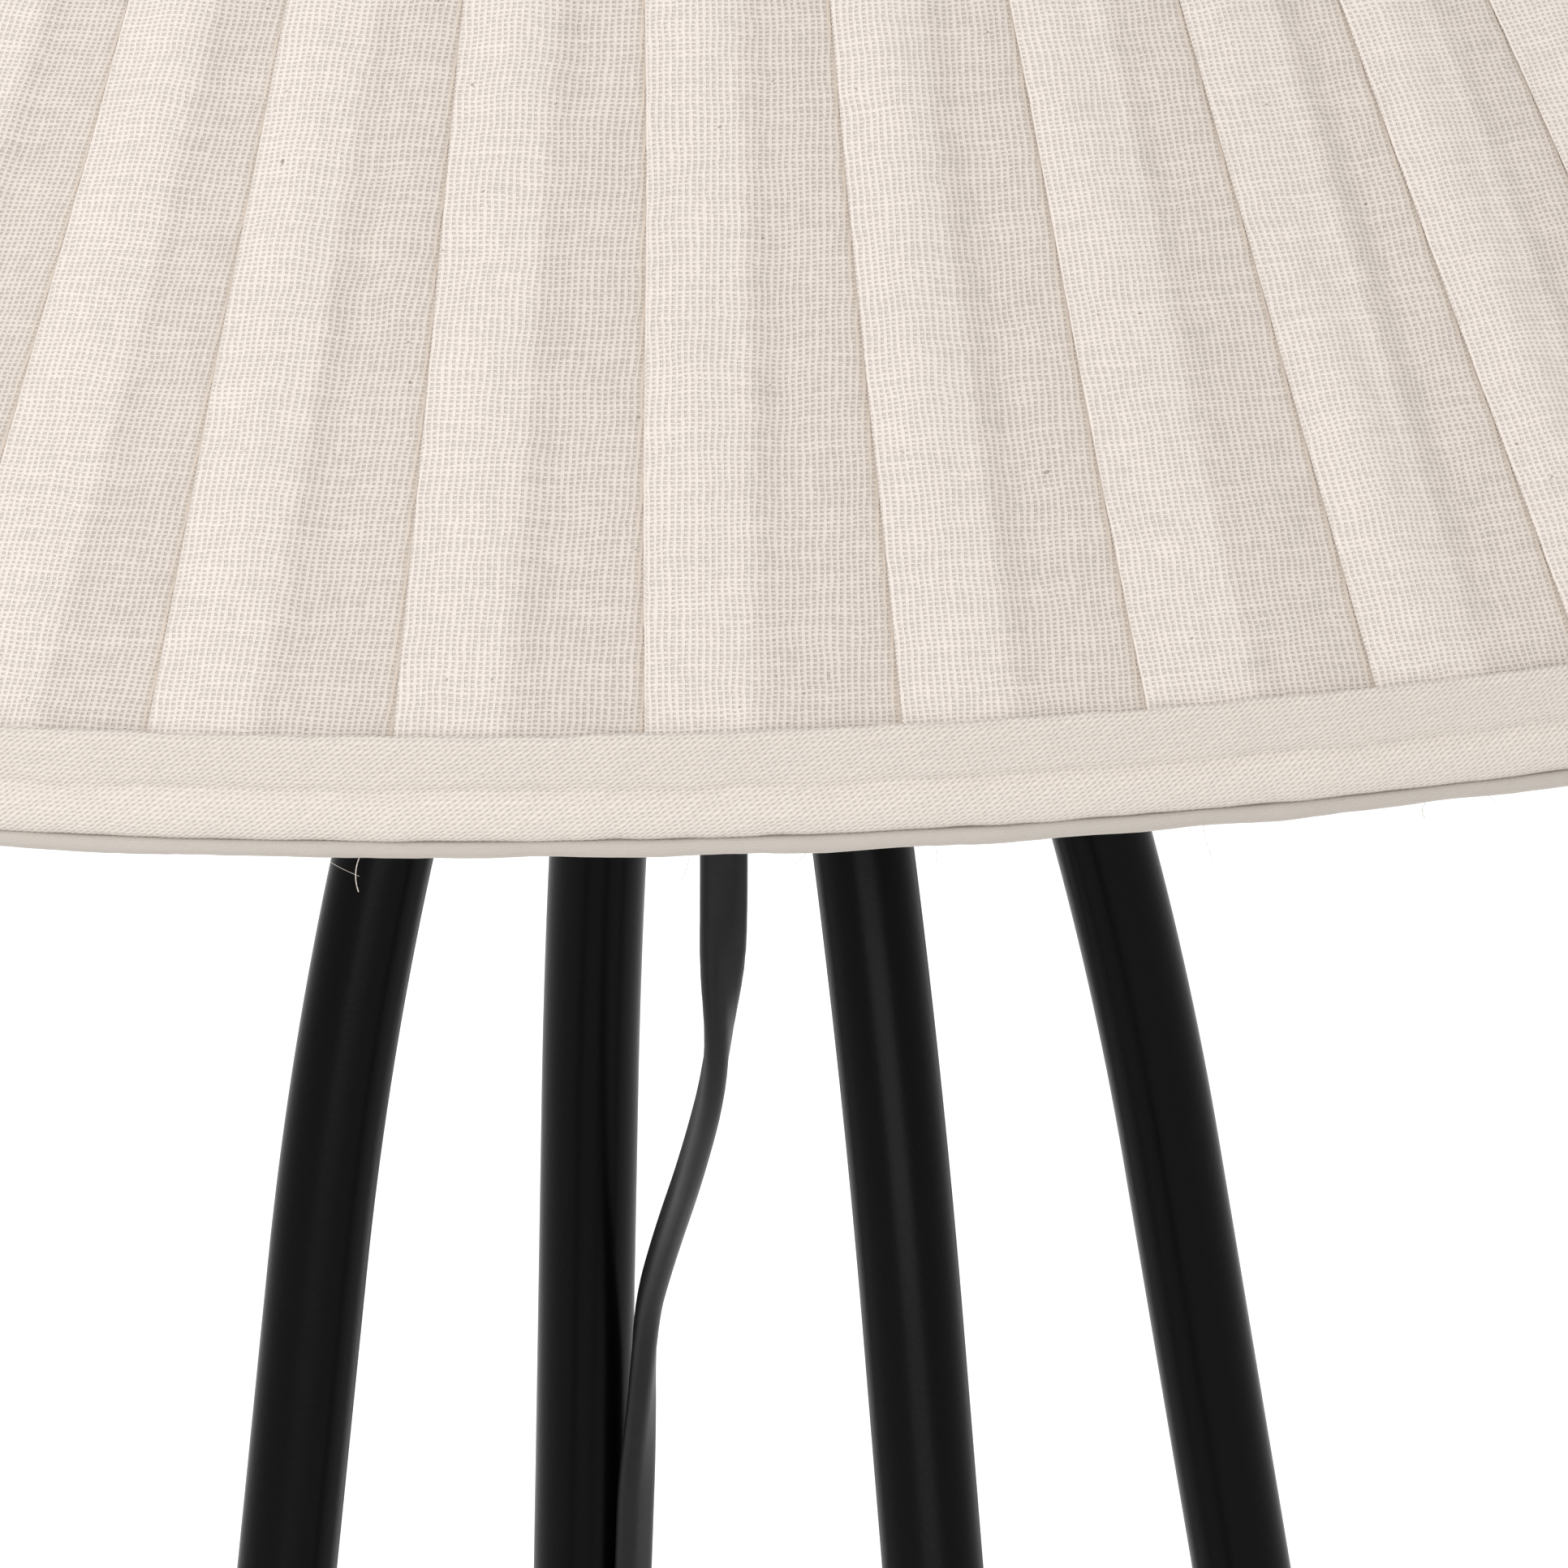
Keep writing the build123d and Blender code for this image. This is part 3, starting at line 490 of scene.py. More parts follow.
LEAD_ROUTE = [
    (0.111, 0.07, 0.005),
    (0.126, 0.0706, 0.0037),
    (0.1396, 0.0766, 0.0025),
    (0.1498, 0.0876, 0.0023),
    (0.155, 0.1016, 0.0023),
    (0.1554, 0.117, 0.0023),
    (0.1536, 0.131, 0.0023),
]
TAIL_ROUTE = [
    (0.12, 0.164, 0.0089),
    (0.108, 0.1656, 0.0078),
    (0.095, 0.172, 0.0066),
    (0.082, 0.1806, 0.0064),
    (0.073, 0.1836, 0.0067),
    (0.064, 0.1842, 0.00685),
]
COIL_CENTRE = (0.117, 0.126)
COIL_RADIUS = 38.2 * MM
COIL_TURNS = 3  # turns inward on the floor, and as many outward on top
COIL_PITCH = 3.5 * MM
COIL_LAYER = 5.9 * MM
EDGE_ON = (1.214, 1.246)  # on its way down between these heights the flex turns its edge to the camera
ON_LEG = (1.15, 1.178)  # and between these it comes to lie along the leg
FACING = math.radians(-14)  # the way that its flat face looks there
PRESSED = 0.55 * MM  # how much nearer to the leg than its route the clips hold it


def coil_route():
    """Points of the coil's turns: inward in one layer, then outward in a second one on top."""
    points = []
    per_turn = 16
    quarter = per_turn // 4
    steps = 2 * COIL_TURNS * per_turn + quarter
    middle = (steps - 1) / 2
    for k in range(1, steps):
        angle = math.tau * k / per_turn
        inward = COIL_TURNS * (1 - abs(k - middle) / middle)
        radius = COIL_RADIUS - COIL_PITCH * inward
        climb = smoothstep(middle - quarter, middle + quarter, k)
        height = FLEX_WIDTH / 2 + FLOOR_GAP + COIL_LAYER * climb
        x = COIL_CENTRE[0] + radius * math.cos(angle)
        y = COIL_CENTRE[1] + radius * math.sin(angle)
        points.append((x, y, height))
    return points


def spline_points(name, route):
    """The points of the smooth line that a route's NURBS spline gives."""
    curve = bpy.data.curves.new(name, "CURVE")
    curve.dimensions = "3D"
    spline = curve.splines.new("NURBS")
    spline.points.add(len(route) - 1)
    for point, place in zip(spline.points, route):
        point.co = (*place, 1)
    spline.order_u = 3
    spline.use_endpoint_u = True
    spline.resolution_u = 8
    line = bpy.data.objects.new(name, curve)
    bpy.context.collection.objects.link(line)
    bpy.context.view_layer.update()
    mesh = bpy.data.meshes.new_from_object(line)
    points = [v.co.copy() for v in mesh.vertices]
    bpy.data.objects.remove(line)
    bpy.data.curves.remove(curve)
    bpy.data.meshes.remove(mesh)
    return points


def flex_profile(steps=24):
    """The outline of flat twin flex: two round cores side by side, with a faint dip between them."""
    outline = []
    half_width = FLEX_WIDTH / 2
    half_thick = FLEX_THICKNESS / 2
    for k in range(steps):
        angle = math.tau * k / steps
        c = math.cos(angle)
        s = math.sin(angle)
        x = half_width * math.copysign(abs(c) ** 0.72, c)
        dip = 1 - 0.07 * math.exp(-((x / (0.16 * FLEX_WIDTH)) ** 2))
        y = half_thick * dip * math.copysign(abs(s) ** 0.85, s)
        outline.append((x, y))
    return outline


def flat_cord(name, points, thin_axis, settled, replaced):
    """A closed tube of flat flex along points, and its centre line.

    thin_axis(k) is the direction in which the flex is thinnest at point k, and settled(k) how far it is
    lowered on to the floor there, from 0 to 1.
    """
    outline = flex_profile()
    vertices = []
    centres = []
    for k, point in enumerate(points):
        before = points[max(k - 1, 0)]
        after = points[min(k + 1, len(points) - 1)]
        along = (after - before).normalized()
        thin = thin_axis(k)
        thin = (thin - along * thin.dot(along)).normalized()
        wide = along.cross(thin)
        ring = [point + wide * x + thin * y for x, y in outline]
        drop = min(v.z for v in ring) - FLOOR_GAP
        shift = Vector((0, 0, -drop * (1 if drop < 0 else settled(k))))
        vertices += [v + shift for v in ring]
        centres.append(point + shift)
    sides = len(outline)
    faces = ring_faces(len(points), sides) + end_caps(len(points), sides)
    return mesh_object(name, vertices, faces, "root", replaced, "flex_pvc"), centres


def near_floor(height):
    """How far the flex is settled on the floor at a height of its route, from 0 to 1."""
    return 1 - smoothstep(2.4 * MM, 4.5 * MM, height)


def make_upper_flex(switch_details):
    """The flex from the hub, down the back left leg and over the floor to the foot switch."""
    towards_camera = Vector((math.sin(CAMERA_AZIMUTH), -math.cos(CAMERA_AZIMUTH), 0))
    across = Vector((math.cos(CAMERA_AZIMUTH), math.sin(CAMERA_AZIMUTH), 0))
    from_leg = Vector((math.cos(FACING), math.sin(FACING), 0))
    points = []
    for point in spline_points("upper_line", CORD_ROUTE):
        on_leg = smoothstep(0.08, 0.12, point.z) * (1 - smoothstep(1.15, 1.17, point.z))
        points.append(point - from_leg * PRESSED * on_leg)

    def thin_axis(k):
        height = points[k].z
        edge_on = 1 - smoothstep(*EDGE_ON, height)
        at_leg = 1 - smoothstep(*ON_LEG, height)
        lying = 1 - smoothstep(4 * MM, 60 * MM, height)
        free = towards_camera * (1 - edge_on) + across * edge_on
        hanging = free * (1 - at_leg) + from_leg * at_leg
        return (hanging * (1 - lying) + UP * lying).normalized()

    flex, line = flat_cord("flex_upper", points, thin_axis, lambda k: near_floor(points[k].z), ["cord_upper"])


def make_lower_flex():
    """The flex from the foot switch through its coil to the plug."""
    points = spline_points("lower_line", [*LEAD_ROUTE, *coil_route(), *TAIL_ROUTE])
    centre = Vector((*COIL_CENTRE, 0))

    def thin_axis(k):
        radial = Vector((points[k].x - centre.x, points[k].y - centre.y, 0))
        in_coil = 1 - smoothstep(COIL_RADIUS + 0.8 * MM, COIL_RADIUS + 14 * MM, radial.length)
        return (radial.normalized() * in_coil + UP * (1 - in_coil)).normalized()

    def settled(k):
        """Only the stretch before the coil lies on the floor of its own accord."""
        return near_floor(points[k].z) if k < len(points) // 2 else 0

    flex, line = flat_cord("flex_lower", points, thin_axis, settled, ["cord_lead", "cord_coil", "cord_tail"])


# ---------------------------------------------------------------- shade
def thread_map(piece, places, full_turn):
    """Stores each vertex's place on the flat cloth, in millimetres, as the UV map that the weaves read.

    full_turn(vertex) is the cloth's length once round there, which keeps the faces that close a ring in step.
    """
    layer = piece.data.uv_layers.new(name="threads")
    flat = []
    for face in piece.data.polygons:
        reach = max(places[v][0] for v in face.vertices)
        for v in face.vertices:
            x, y = places[v]
            if reach - x > full_turn(v) / 2:
                x += full_turn(v)
            flat += (x, y)
    layer.data.foreach_set("uv", flat)


def on_cone(angle, slant, depth):
    """A point of the shade: slant is measured up the cone from its rim, depth inward from its outer face."""
    inward = depth * math.cos(CONE_ANGLE)
    down = depth * math.sin(CONE_ANGLE)
    if slant >= 0:
        radius = SHADE_RADIUS - slant * math.sin(CONE_ANGLE) - inward
        return ring_point(radius, angle, RIM + slant * math.cos(CONE_ANGLE) - down)
    return ring_point(SHADE_RADIUS - inward, angle, RIM + slant - down)


def fold_angles():
    """Where each pleat's folded edge stands round the shade: evenly, but for small errors of sewing."""
    chance = random.Random(4)
    shifts = [chance.uniform(-0.06, 0.06) for _ in range(PLEATS)]
    for k, shift in NEAR_SHIFTS.items():
        shifts[k % PLEATS] = shift
    return [FIRST_PLEAT + math.tau / PLEATS * (k + shifts[k]) for k in range(PLEATS)]


def edge_drift(pleat, slant, freedom):
    """How far a pleat's folded edge wanders sideways, in millimetres."""
    return 0.35 * noise.noise(Vector((pleat * 3.7, slant * 21, 2.0))) * freedom


def pleat_columns(width, lap):
    """The columns of points across one pleat, from its folded edge, in millimetres.

    Each is (distance along, depth, place on the cloth, double, fold_shade), where fold_shade is how much
    painted shade the cloth gets in the groove beside a folded edge. The face runs to the next fold,
    slides under it, turns back at the hidden fold and returns to the next edge.
    """
    columns = []
    ends = 0.06 * width
    stops = [0, 0.3 * ends, 0.7 * ends]
    stops += [ends + (width - 2 * ends) * k / 16 for k in range(17)]
    stops += [width - 0.6 * ends, width - 0.35 * ends, width - 0.15 * ends, width]
    for along in stops:
        share = along / width
        sink = 0.26 + 0.42 * smoothstep(0.7, 1.0, share) - 0.06 * smoothstep(0, 0.08, share)
        double = 1 - smoothstep(lap - 0.8, lap + 0.8, along)
        # Painted shade: the groove just before the next folded edge, where that fold's shadow falls.
        fold_shade = smoothstep(width - ends, width - 0.3 * ends, along)
        columns.append((along, sink, along, double, fold_shade))
    # Under the next face, to the hidden fold.
    for k in range(1, 5):
        share = k / 4
        columns.append((width + lap * share, 0.68 + 0.4 * share, width + lap * share, 1, 0))
    columns.append((width + lap + 0.3, 0.9, -lap, 1, 0))
    # Back again between the two layers, and round the next folded edge.
    for k in range(5):
        share = 1 - k / 4
        columns.append((width + 0.1 + lap * share, 0.54 + 0.16 * share, -lap * share, 1, 0))
    # The turn round the folded edge carries some of the same painted shade.
    columns.append((width - 0.2, 0.48, -0.5, 1, 0.6))
    columns.append((width - 0.26, 0.38, -0.25, 1, 0.25))
    return columns


def face_roll(pleat, slant, share, looseness):
    """How far a pleat's loose face sinks in from its plane, in millimetres: a soft roll, and ripples."""
    swell = noise.noise(Vector((pleat * 5.3, slant * 22, share * 1.3)))
    ripple = noise.noise(Vector((pleat * 2.9 + 40, slant * 70, share * 2.4)))
    phase = 0.9 * noise.noise(Vector((pleat * 8.3, slant * 17, 11.0)))
    strength = 0.75 + 0.9 * noise.noise(Vector((pleat * 6.1, slant * 14, 17.0)))
    roll = -strength * math.sin(math.tau * share**0.85 + phase)
    free = math.sin(math.pi * share) ** 1.2 * looseness
    return (0.85 * roll + 1.05 * swell + 0.34 * ripple) * free


def resting(depth, below):
    """A depth eased so that the cloth settles on the layer below it and never cuts through."""
    ease = 0.3
    over = depth - below + ease
    return depth if over <= 0 else below - ease * math.exp(-over / ease)


def make_cover():
    """The shade's cloth: one strip laid in knife pleats all round the cone."""
    rows = 100
    slants = [-1.6 * MM, -0.8 * MM] + [SLANT * (k / (rows - 3)) for k in range(rows - 2)]
    folds = fold_angles()
    vertices, places, doubles, fold_shades = [], [], [], []
    for slant in slants:
        up = min(max(slant / SLANT, 0), 1)
        radius = mix(SHADE_RADIUS, TOP_RADIUS, up) / MM
        freedom = math.sin(math.pi * min(up * 1.15, 1) ** 0.6) if up > 0 else 0
        for k in range(PLEATS):
            after = (k + 1) % PLEATS
            start = folds[k]
            end = folds[after] + (math.tau if after == 0 else 0)
            here = edge_drift(k, slant, freedom)
            width = radius * (end - start) + edge_drift(after, slant, freedom) - here
            unevenness = 1 + 0.05 * noise.noise(Vector((k * 9.1, slant * 6, 5.0)))
            lap = min(mix(LAP_AT_HEM, LAP_AT_TOP, up) * unevenness, width - 0.3)
            looseness = freedom * min(1, width / 14)
            for along, sink, cloth, double, fold_shade in pleat_columns(width, lap):
                depth = sink
                if along < width:
                    below = mix(0.42, 1.9, smoothstep(lap + 0.5, lap + 5, along))
                    depth = resting(sink + face_roll(k, slant, along / width, looseness), below)
                angle = start + (along + here) / radius
                vertices.append(on_cone(angle, slant, depth * MM))
                places.append((cloth + CLOTH_STEP * (k + (1 if cloth < 0 else 0)), slant / MM))
                doubles.append(double)
                fold_shades.append(fold_shade)
    faces = ring_faces(rows, len(vertices) // rows)
    cover = mesh_object("pleated_cover", vertices, faces, "shade", ["shade_cover"], "shade_cloth")
    thread_map(cover, places, lambda v: CLOTH_STEP * PLEATS)
    # The crease attribute holds the painted shade beside the folds; layers holds where the cloth is double.
    for name, values in (("layers", doubles), ("crease", fold_shades)):
        attribute = cover.data.attributes.new(name, "FLOAT", "POINT")
        attribute.data.foreach_set("value", values)


def make_lining():
    """The smooth lining inside the frame's wires, turned down at its lower edge over the bottom ring."""
    rows, steps = 24, 360
    ring_low, ring_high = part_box("bottom_ring")
    inner = ring_high.x - 4.6 * MM
    middle = (ring_low.z + ring_high.z) / 2
    turned_down = [
        (inner + 0.3 * MM, STRIP_BOTTOM + 1.4 * MM),
        (inner, middle - 2.0 * MM),
        (inner, middle),
        (inner + 0.5 * MM, middle + 1.8 * MM),
    ]
    angles = [math.tau * k / steps for k in range(steps)]
    vertices, places, turns = [], [], []
    for radius, height in turned_down:
        for angle in angles:
            vertices.append(ring_point(radius, angle, height))
            places.append((angle * SHADE_RADIUS / MM, (height - RIM) / MM))
            turns.append(math.tau * SHADE_RADIUS / MM)
    for row in range(rows):
        up = row / (rows - 1)
        slant = mix(2 * MM, SLANT - 2 * MM, up)
        radius = mix(SHADE_RADIUS, TOP_RADIUS, up)
        for angle in angles:
            slack = 0.4 * MM * math.sin(math.pi * up) * ring_noise(angle, 6, up * 5)
            vertices.append(on_cone(angle, slant, LINING_DEPTH + slack))
            places.append((angle * radius / MM, slant / MM))
            turns.append(math.tau * radius / MM)
    faces = ring_faces(len(turned_down) + rows, steps)
    lining = mesh_object("lining_cloth", vertices, faces, "shade", ["shade_lining"], "lining_cloth")
    thread_map(lining, places, lambda v: turns[v])


def tape_ring(name, profile, steps, replaced, wave, slot="trim_tape", finish=None):
    """A tape sewn round the lamp's axis. profile is its closed section, as (radius, height) points.

    wave(angle, k) gives the small shifts, outward and up, of profile point k.
    """
    vertices, places = [], []
    travelled = 0.0
    before = profile[0]
    usual_radius = sum(radius for radius, _ in profile) / len(profile)
    for k, (radius, height) in enumerate(profile):
        travelled += math.hypot(radius - before[0], height - before[1])
        before = (radius, height)
        for j in range(steps):
            angle = math.tau * j / steps
            outward, up = wave(angle, k)
            vertices.append(ring_point(radius + outward, angle, height + up))
            places.append((angle * usual_radius / MM, travelled / MM))
    faces = ring_faces(len(profile), steps, closed=True)
    tape = mesh_object(name, vertices, faces, "shade", replaced, slot, finish)
    thread_map(tape, places, lambda v: math.tau * usual_radius / MM)


def make_hem_tape():
    """The tape folded over the shade's rim, with a crease half-way down its face."""
    crease = 9  # the point of the section below that lies in the crease
    section = [
        (-1.15, 11.35),
        (-0.55, 11.75),
        (-0.05, 11.45),
        (0.12, 10.9),
        (0.16, 10.0),
        (0.13, 8.6),
        (0.06, 7.4),
        (-0.10, 6.5),
        (-0.32, 6.0),
        (-0.46, 5.7),
        (-0.34, 5.4),
        (-0.04, 4.9),
        (0.24, 4.1),
        (0.42, 3.1),
        (0.42, 2.1),
        (0.20, 1.2),
        (-0.2, 0.5),
        (-0.7, 0.1),
        (-1.3, 0.1),
        (-1.6, 0.8),
        (-1.6, 5.5),
        (-1.6, 10.4),
    ]

    def wave(angle, k):
        bulge = 0.16 * ring_noise(angle, 26, 1.0 + 0.12 * k) + 0.10 * ring_noise(angle, 90, 3.0 + 0.2 * k)
        top = smoothstep(6, 0, k)
        rise = top * (0.22 * ring_noise(angle, 38, 8.0) + 0.12 * ring_noise(angle, 150, 9.0))
        dip = math.exp(-((k - crease) ** 2) / 6) * 0.35 * ring_noise(angle, 30, 12.0)
        low = smoothstep(12, 18, k) * 0.2 * ring_noise(angle, 55, 15.0)
        return bulge * MM, (rise + dip + low) * MM

    profile = [(BAND_RADIUS + r * MM, HEM_BOTTOM + z * MM) for r, z in section]
    tape_ring("hem_tape", profile, HEM_STEPS, ["hem_band"], wave)


def make_lower_strip():
    """The strip turned in under the hem tape, whose lower edge sags a little between the pleats."""
    section = [
        (-0.9, 2.2),
        (-0.35, 1.95),
        (-0.15, 1.4),
        (-0.25, 0.8),
        (-0.7, 0.35),
        (-1.6, 0.15),
        (-4.0, 0.25),
        (-6.8, 0.35),
        (-8.6, 0.55),
        (-8.7, 1.1),
        (-6.8, 1.25),
        (-3.0, 1.5),
    ]

    def wave(angle, k):
        edge = math.exp(-((k - 3) ** 2) / 5)
        scallop = abs(math.sin(angle * PLEATS / 2 + 2.2 * ring_noise(angle, 9, 27.0)))
        pull = 0.3 * scallop * (0.6 + ring_noise(angle, 12, 22.0))
        low = 0.42 * ring_noise(angle, 24, 21.0) - pull + 0.06 * ring_noise(angle, 160, 23.0)
        outward = edge * 0.3 * ring_noise(angle, 40, 24.0)
        up = edge * low + 0.1 * ring_noise(angle, 20, 25.0)
        return outward * MM, up * MM

    profile = [(BAND_RADIUS + r * MM, STRIP_BOTTOM + z * MM) for r, z in section]
    # Its finish is the hem tape's colour, darkened as painted shade.
    tape_ring(
        "hem_lower_strip",
        profile,
        HEM_STEPS,
        ["hem_under_strip"],
        wave,
        slot="lining_cloth",
        finish="strip_tape",
    )


def make_loose_threads():
    """Fine ends of yarn that hang from the hem's lower edge."""
    chance = random.Random(11)
    joints, sides = 7, 5
    vertices, faces = [], []
    for _ in range(90):
        angle = chance.uniform(0, math.tau)
        length = chance.uniform(2.0, 7.0) * MM
        lean = chance.uniform(-0.8, 0.8)
        curl = chance.uniform(-0.6, 0.6)
        thick = chance.uniform(0.03, 0.06) * MM
        root = ring_point(BAND_RADIUS - 0.6 * MM, angle, STRIP_BOTTOM + 0.4 * MM)
        side = Vector((-math.sin(angle), math.cos(angle), 0))
        out = Vector((math.cos(angle), math.sin(angle), 0))
        first = len(vertices)
        for k in range(joints):
            share = k / (joints - 1)
            sideways = side * length * (lean * share + curl * share**2)
            centre = root - UP * length * share * 0.55 + sideways + out * length * 0.12 * share
            for j in range(sides):
                turn = math.tau * j / sides
                vertices.append(centre + (side * math.cos(turn) + out * math.sin(turn)) * thick)
        faces += ring_faces(joints, sides, start=first)
    threads = mesh_object("loose_threads", vertices, faces, "shade", [], "trim_tape")
    thread_map(threads, [(v.x / MM, v.z / MM) for v in vertices], lambda v: math.inf)


def make_top_band():
    """The tape round the shade's mouth, over the cone's edge and in to the ring."""
    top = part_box("top_band")[1].z
    # Millimetres up the cone from its upper edge, and in from its outer face.
    over_cone = [(-9.6, 0.3), (-9.2, -0.35), (-8, -0.5), (-5.5, -0.42), (-3, -0.5)]
    over_cone += [(-1.2, -0.45), (-0.2, -0.1)]
    # Radius, and millimetres below the tape's top.
    over_ring = [(68.6, 0.1), (66, 0), (62.5, 0.1), (60.4, 0.6), (60.3, 1.2), (62.5, 1.5), (70, 2.4)]
    profile = []
    for slant, depth in over_cone:
        point = on_cone(0, SLANT + slant * MM, depth * MM)
        profile.append((point.x, min(point.z, top)))
    profile += [(radius * MM, top - drop * MM) for radius, drop in over_ring]

    def wave(angle, k):
        return 0.14 * MM * ring_noise(angle, 14, 31.0 + 0.3 * k), 0.1 * MM * ring_noise(angle, 11, 35.0)

    tape_ring("mouth_tape", profile, 720, ["top_band"], wave)


# ---------------------------------------------------------------- legs
def leg_tube(node, line):
    """A leg's round tube with closed ends, along a line that lies in one upright plane."""
    sides = 96
    across = (line[-1] - line[0]).cross(UP).normalized()
    vertices = []
    for k, point in enumerate(line):
        along = (line[min(k + 1, len(line) - 1)] - line[max(k - 1, 0)]).normalized()
        up = across.cross(along)
        for j in range(sides):
            turn = math.tau * j / sides
            vertices.append(point + (across * math.cos(turn) + up * math.sin(turn)) * LEG_RADIUS)
    faces = ring_faces(len(line), sides)
    faces += [tuple(reversed(cap)) for cap in end_caps(len(line), sides)]
    tube = mesh_object(node + "_tube", vertices, faces, "root", [node], "leg_paint")
    for cap in (len(faces) - 2, len(faces) - 1):
        tube.data.polygons[cap].use_smooth = False


def leg_line():
    """The middle of a leg from its socket in the hub to its foot, as (distance from the axis, height)."""
    lean, rise = math.sin(LEG_TOP_ANGLE), math.cos(LEG_TOP_ANGLE)
    tangent = LEG_BEND_RADIUS * math.tan((LEG_TOP_ANGLE - LEG_SPLAY) / 2)
    bend = (KNEE_RADIUS - lean * tangent, RIM - KNEE_DROP + rise * tangent)
    line = [(bend[0] - lean * SOCKET_DEPTH, bend[1] + rise * SOCKET_DEPTH)]
    bend_steps, straight_steps = 40, 24
    for k in range(bend_steps + 1):
        tilt = mix(LEG_TOP_ANGLE, LEG_SPLAY, k / bend_steps)
        radius = bend[0] + LEG_BEND_RADIUS * (math.cos(tilt) - rise)
        height = bend[1] + LEG_BEND_RADIUS * (math.sin(tilt) - lean)
        line.append((radius, height))
    bend_end = line[-1]
    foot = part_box("leg_front_right")[0].z + LEG_RADIUS * math.sin(LEG_SPLAY)
    for k in range(1, straight_steps + 1):
        height = mix(bend_end[1], foot, k / straight_steps)
        line.append((bend_end[0] + (bend_end[1] - height) * math.tan(LEG_SPLAY), height))
    return line


def make_legs():
    """Four bent tubes, each from its socket in the hub to its rubber foot."""
    for node, degrees in LEG_ANGLES.items():
        out = Vector((math.cos(math.radians(degrees)), math.sin(math.radians(degrees)), 0))
        leg_tube(node, [out * radius + Vector((0, 0, height)) for radius, height in leg_line()])


# ---------------------------------------------------------------- foot switch
def make_wound_spring():
    """The foot switch's wound spring, at rest length; the real one shortens when the button goes down."""
    low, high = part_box("switch_spring")
    centre = (low + high) / 2
    wire = 0.5 * MM
    radius = (high.x - low.x) / 2 - wire
    turns, per_turn, sides = 6, 28, 10
    vertices = []
    count = turns * per_turn + 1
    for k in range(count):
        angle = math.tau * k / per_turn
        share = k / (count - 1)
        climb = share - math.sin(math.tau * share) * 0.06  # closer turns at the two ends
        out = Vector((math.cos(angle), math.sin(angle), 0))
        middle = Vector((centre.x, centre.y, mix(low.z + wire, high.z - wire, climb))) + out * radius
        for j in range(sides):
            turn = math.tau * j / sides
            vertices.append(middle + (out * math.cos(turn) + UP * math.sin(turn)) * wire)
    faces = ring_faces(count, sides) + end_caps(count, sides)
    spring = mesh_object("wound_spring", vertices, faces, "root", ["switch_spring"], "spring_steel")
    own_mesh(spring)
    return spring


def make_button_rings():
    """The grip rings moulded on the top of the foot switch's button."""
    low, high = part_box("switch_spring")
    centre = (low + high) / 2
    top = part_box("switch_button")[1].z - 0.05 * MM
    arch_steps, sides = 8, 96
    rings = []
    for k in range(4):
        ring_radius = (4 + 2.6 * k) * MM
        vertices = []
        for i in range(arch_steps + 1):
            arch = math.pi * i / arch_steps
            radius = ring_radius + 0.55 * MM * math.cos(arch)
            height = top + 0.4 * MM * math.sin(arch)
            for j in range(sides):
                angle = math.tau * j / sides
                x = centre.x + radius * math.cos(angle)
                y = centre.y + radius * math.sin(angle)
                vertices.append((x, y, height))
        faces = ring_faces(arch_steps + 1, sides, closed=True)
        rings.append(mesh_object(f"button_ring_{k + 1}", vertices, faces, "button", [], "button_plastic"))
    return rings


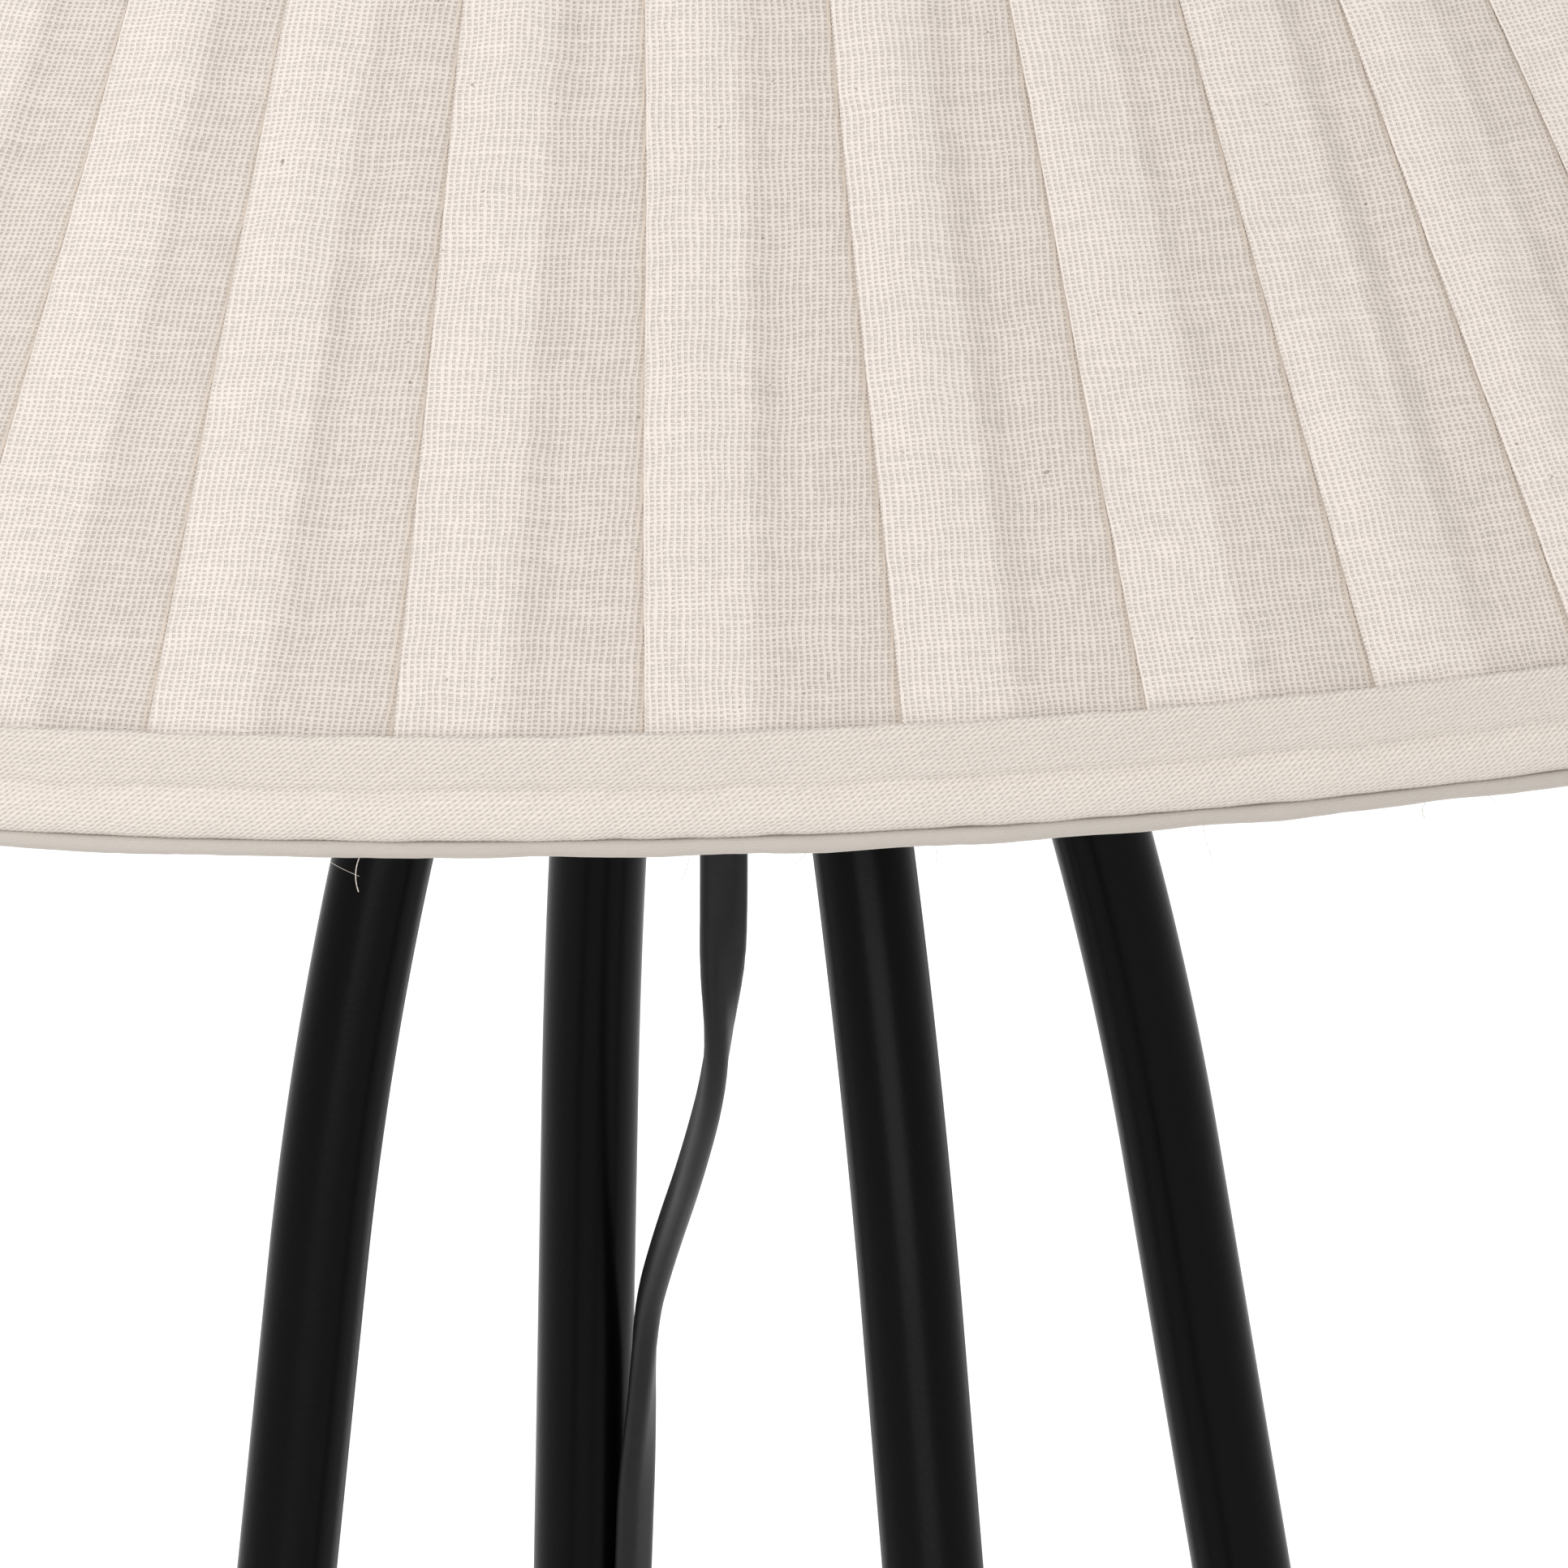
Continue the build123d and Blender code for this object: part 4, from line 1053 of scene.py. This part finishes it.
# ---------------------------------------------------------------- surroundings
def make_sky():
    """An even white sky at the horizon, which higher up is brighter on the main light's side."""
    at_horizon, away_from_light, near_light = 1.03, 0.5, 1.55
    scene = bpy.context.scene
    scene.view_settings.view_transform = "Standard"
    world = bpy.data.worlds.new("soft white")
    world.use_nodes = True
    tree = world.node_tree
    sky = tree.nodes["Background"]
    sky.inputs["Color"].default_value = (1, 1, 1, 1)
    looking = tree.nodes.new("ShaderNodeTexCoord").outputs["Generated"]
    towards = tree.nodes.new("ShaderNodeVectorMath")
    towards.operation = "DOT_PRODUCT"
    turn = CAMERA_AZIMUTH + math.radians(KEY_TURN)
    towards.inputs[1].default_value = (0.8 * math.sin(turn), -0.8 * math.cos(turn), 0.6)
    glow = tree.nodes.new("ShaderNodeMapRange")
    glow.inputs["From Min"].default_value = 0.1
    glow.inputs["To Min"].default_value = away_from_light
    glow.inputs["To Max"].default_value = near_light
    split = tree.nodes.new("ShaderNodeSeparateXYZ")
    above = tree.nodes.new("ShaderNodeMapRange")
    above.inputs["From Min"].default_value = 0.15
    above.inputs["From Max"].default_value = 0.6
    level = tree.nodes.new("ShaderNodeMix")
    level.inputs[2].default_value = at_horizon
    tree.links.new(looking, towards.inputs[0])
    tree.links.new(looking, split.inputs[0])
    tree.links.new(towards.outputs["Value"], glow.inputs["Value"])
    tree.links.new(split.outputs[2], above.inputs["Value"])
    tree.links.new(above.outputs[0], level.inputs[0])
    tree.links.new(glow.outputs[0], level.inputs[3])
    tree.links.new(level.outputs[0], sky.inputs["Strength"])
    scene.world = world


def make_floor():
    """A wide pale floor, which glows faintly so that it stays white."""
    reach = 30
    corners = [(-reach, -reach, 0), (reach, -reach, 0), (reach, reach, 0), (-reach, reach, 0)]
    mesh = bpy.data.meshes.new("floor")
    mesh.from_pydata(corners, [], [(0, 1, 2, 3)])
    floor = bpy.data.objects.new("floor", mesh)
    bpy.context.collection.objects.link(floor)
    paper = Finish("pale floor", (0.86, 0.86, 0.86), 0.8, specular=0.2)
    paper.set("Roughness", paper.range(paper.noise(paper.place(), 3, 3), 0.3, 0.7, 0.75, 0.85))
    paper.set("Emission Color", (1, 1, 1, 1))
    paper.set("Emission Strength", 0.2)
    mesh.materials.append(paper.material)


def make_lights():
    """Two very soft suns, and a third that only shows as a gleam on what shines, such as the legs."""
    for name, strength, lean, turn, spread in (
        ("key", 1.0, 52, KEY_TURN, 40),
        ("fill", 0.4, 60, 130, 80),
        ("gleam", 1.5, 80, 0, 42),
    ):
        light = bpy.data.lights.new(name, "SUN")
        light.energy = strength
        light.angle = math.radians(spread)
        sun = bpy.data.objects.new(name, light)
        sun.rotation_euler = (math.radians(lean), 0, CAMERA_AZIMUTH + math.radians(turn))
        sun.visible_diffuse = name != "gleam"
        bpy.context.collection.objects.link(sun)


make_camera()
make_upper_flex([make_wound_spring(), *make_button_rings()])
make_lower_flex()
make_cover()
make_lining()
make_hem_tape()
make_lower_strip()
make_loose_threads()
make_top_band()
make_legs()
make_sky()
make_floor()
make_lights()

slot_of = {part["node"]: part["material_slot"] for part in frame["record"]["subparts"]}
for node_name, node_object in frame["nodes"].items():
    node_object.data.materials.clear()
    node_object.data.materials.append(MATERIALS[slot_of[node_name]])
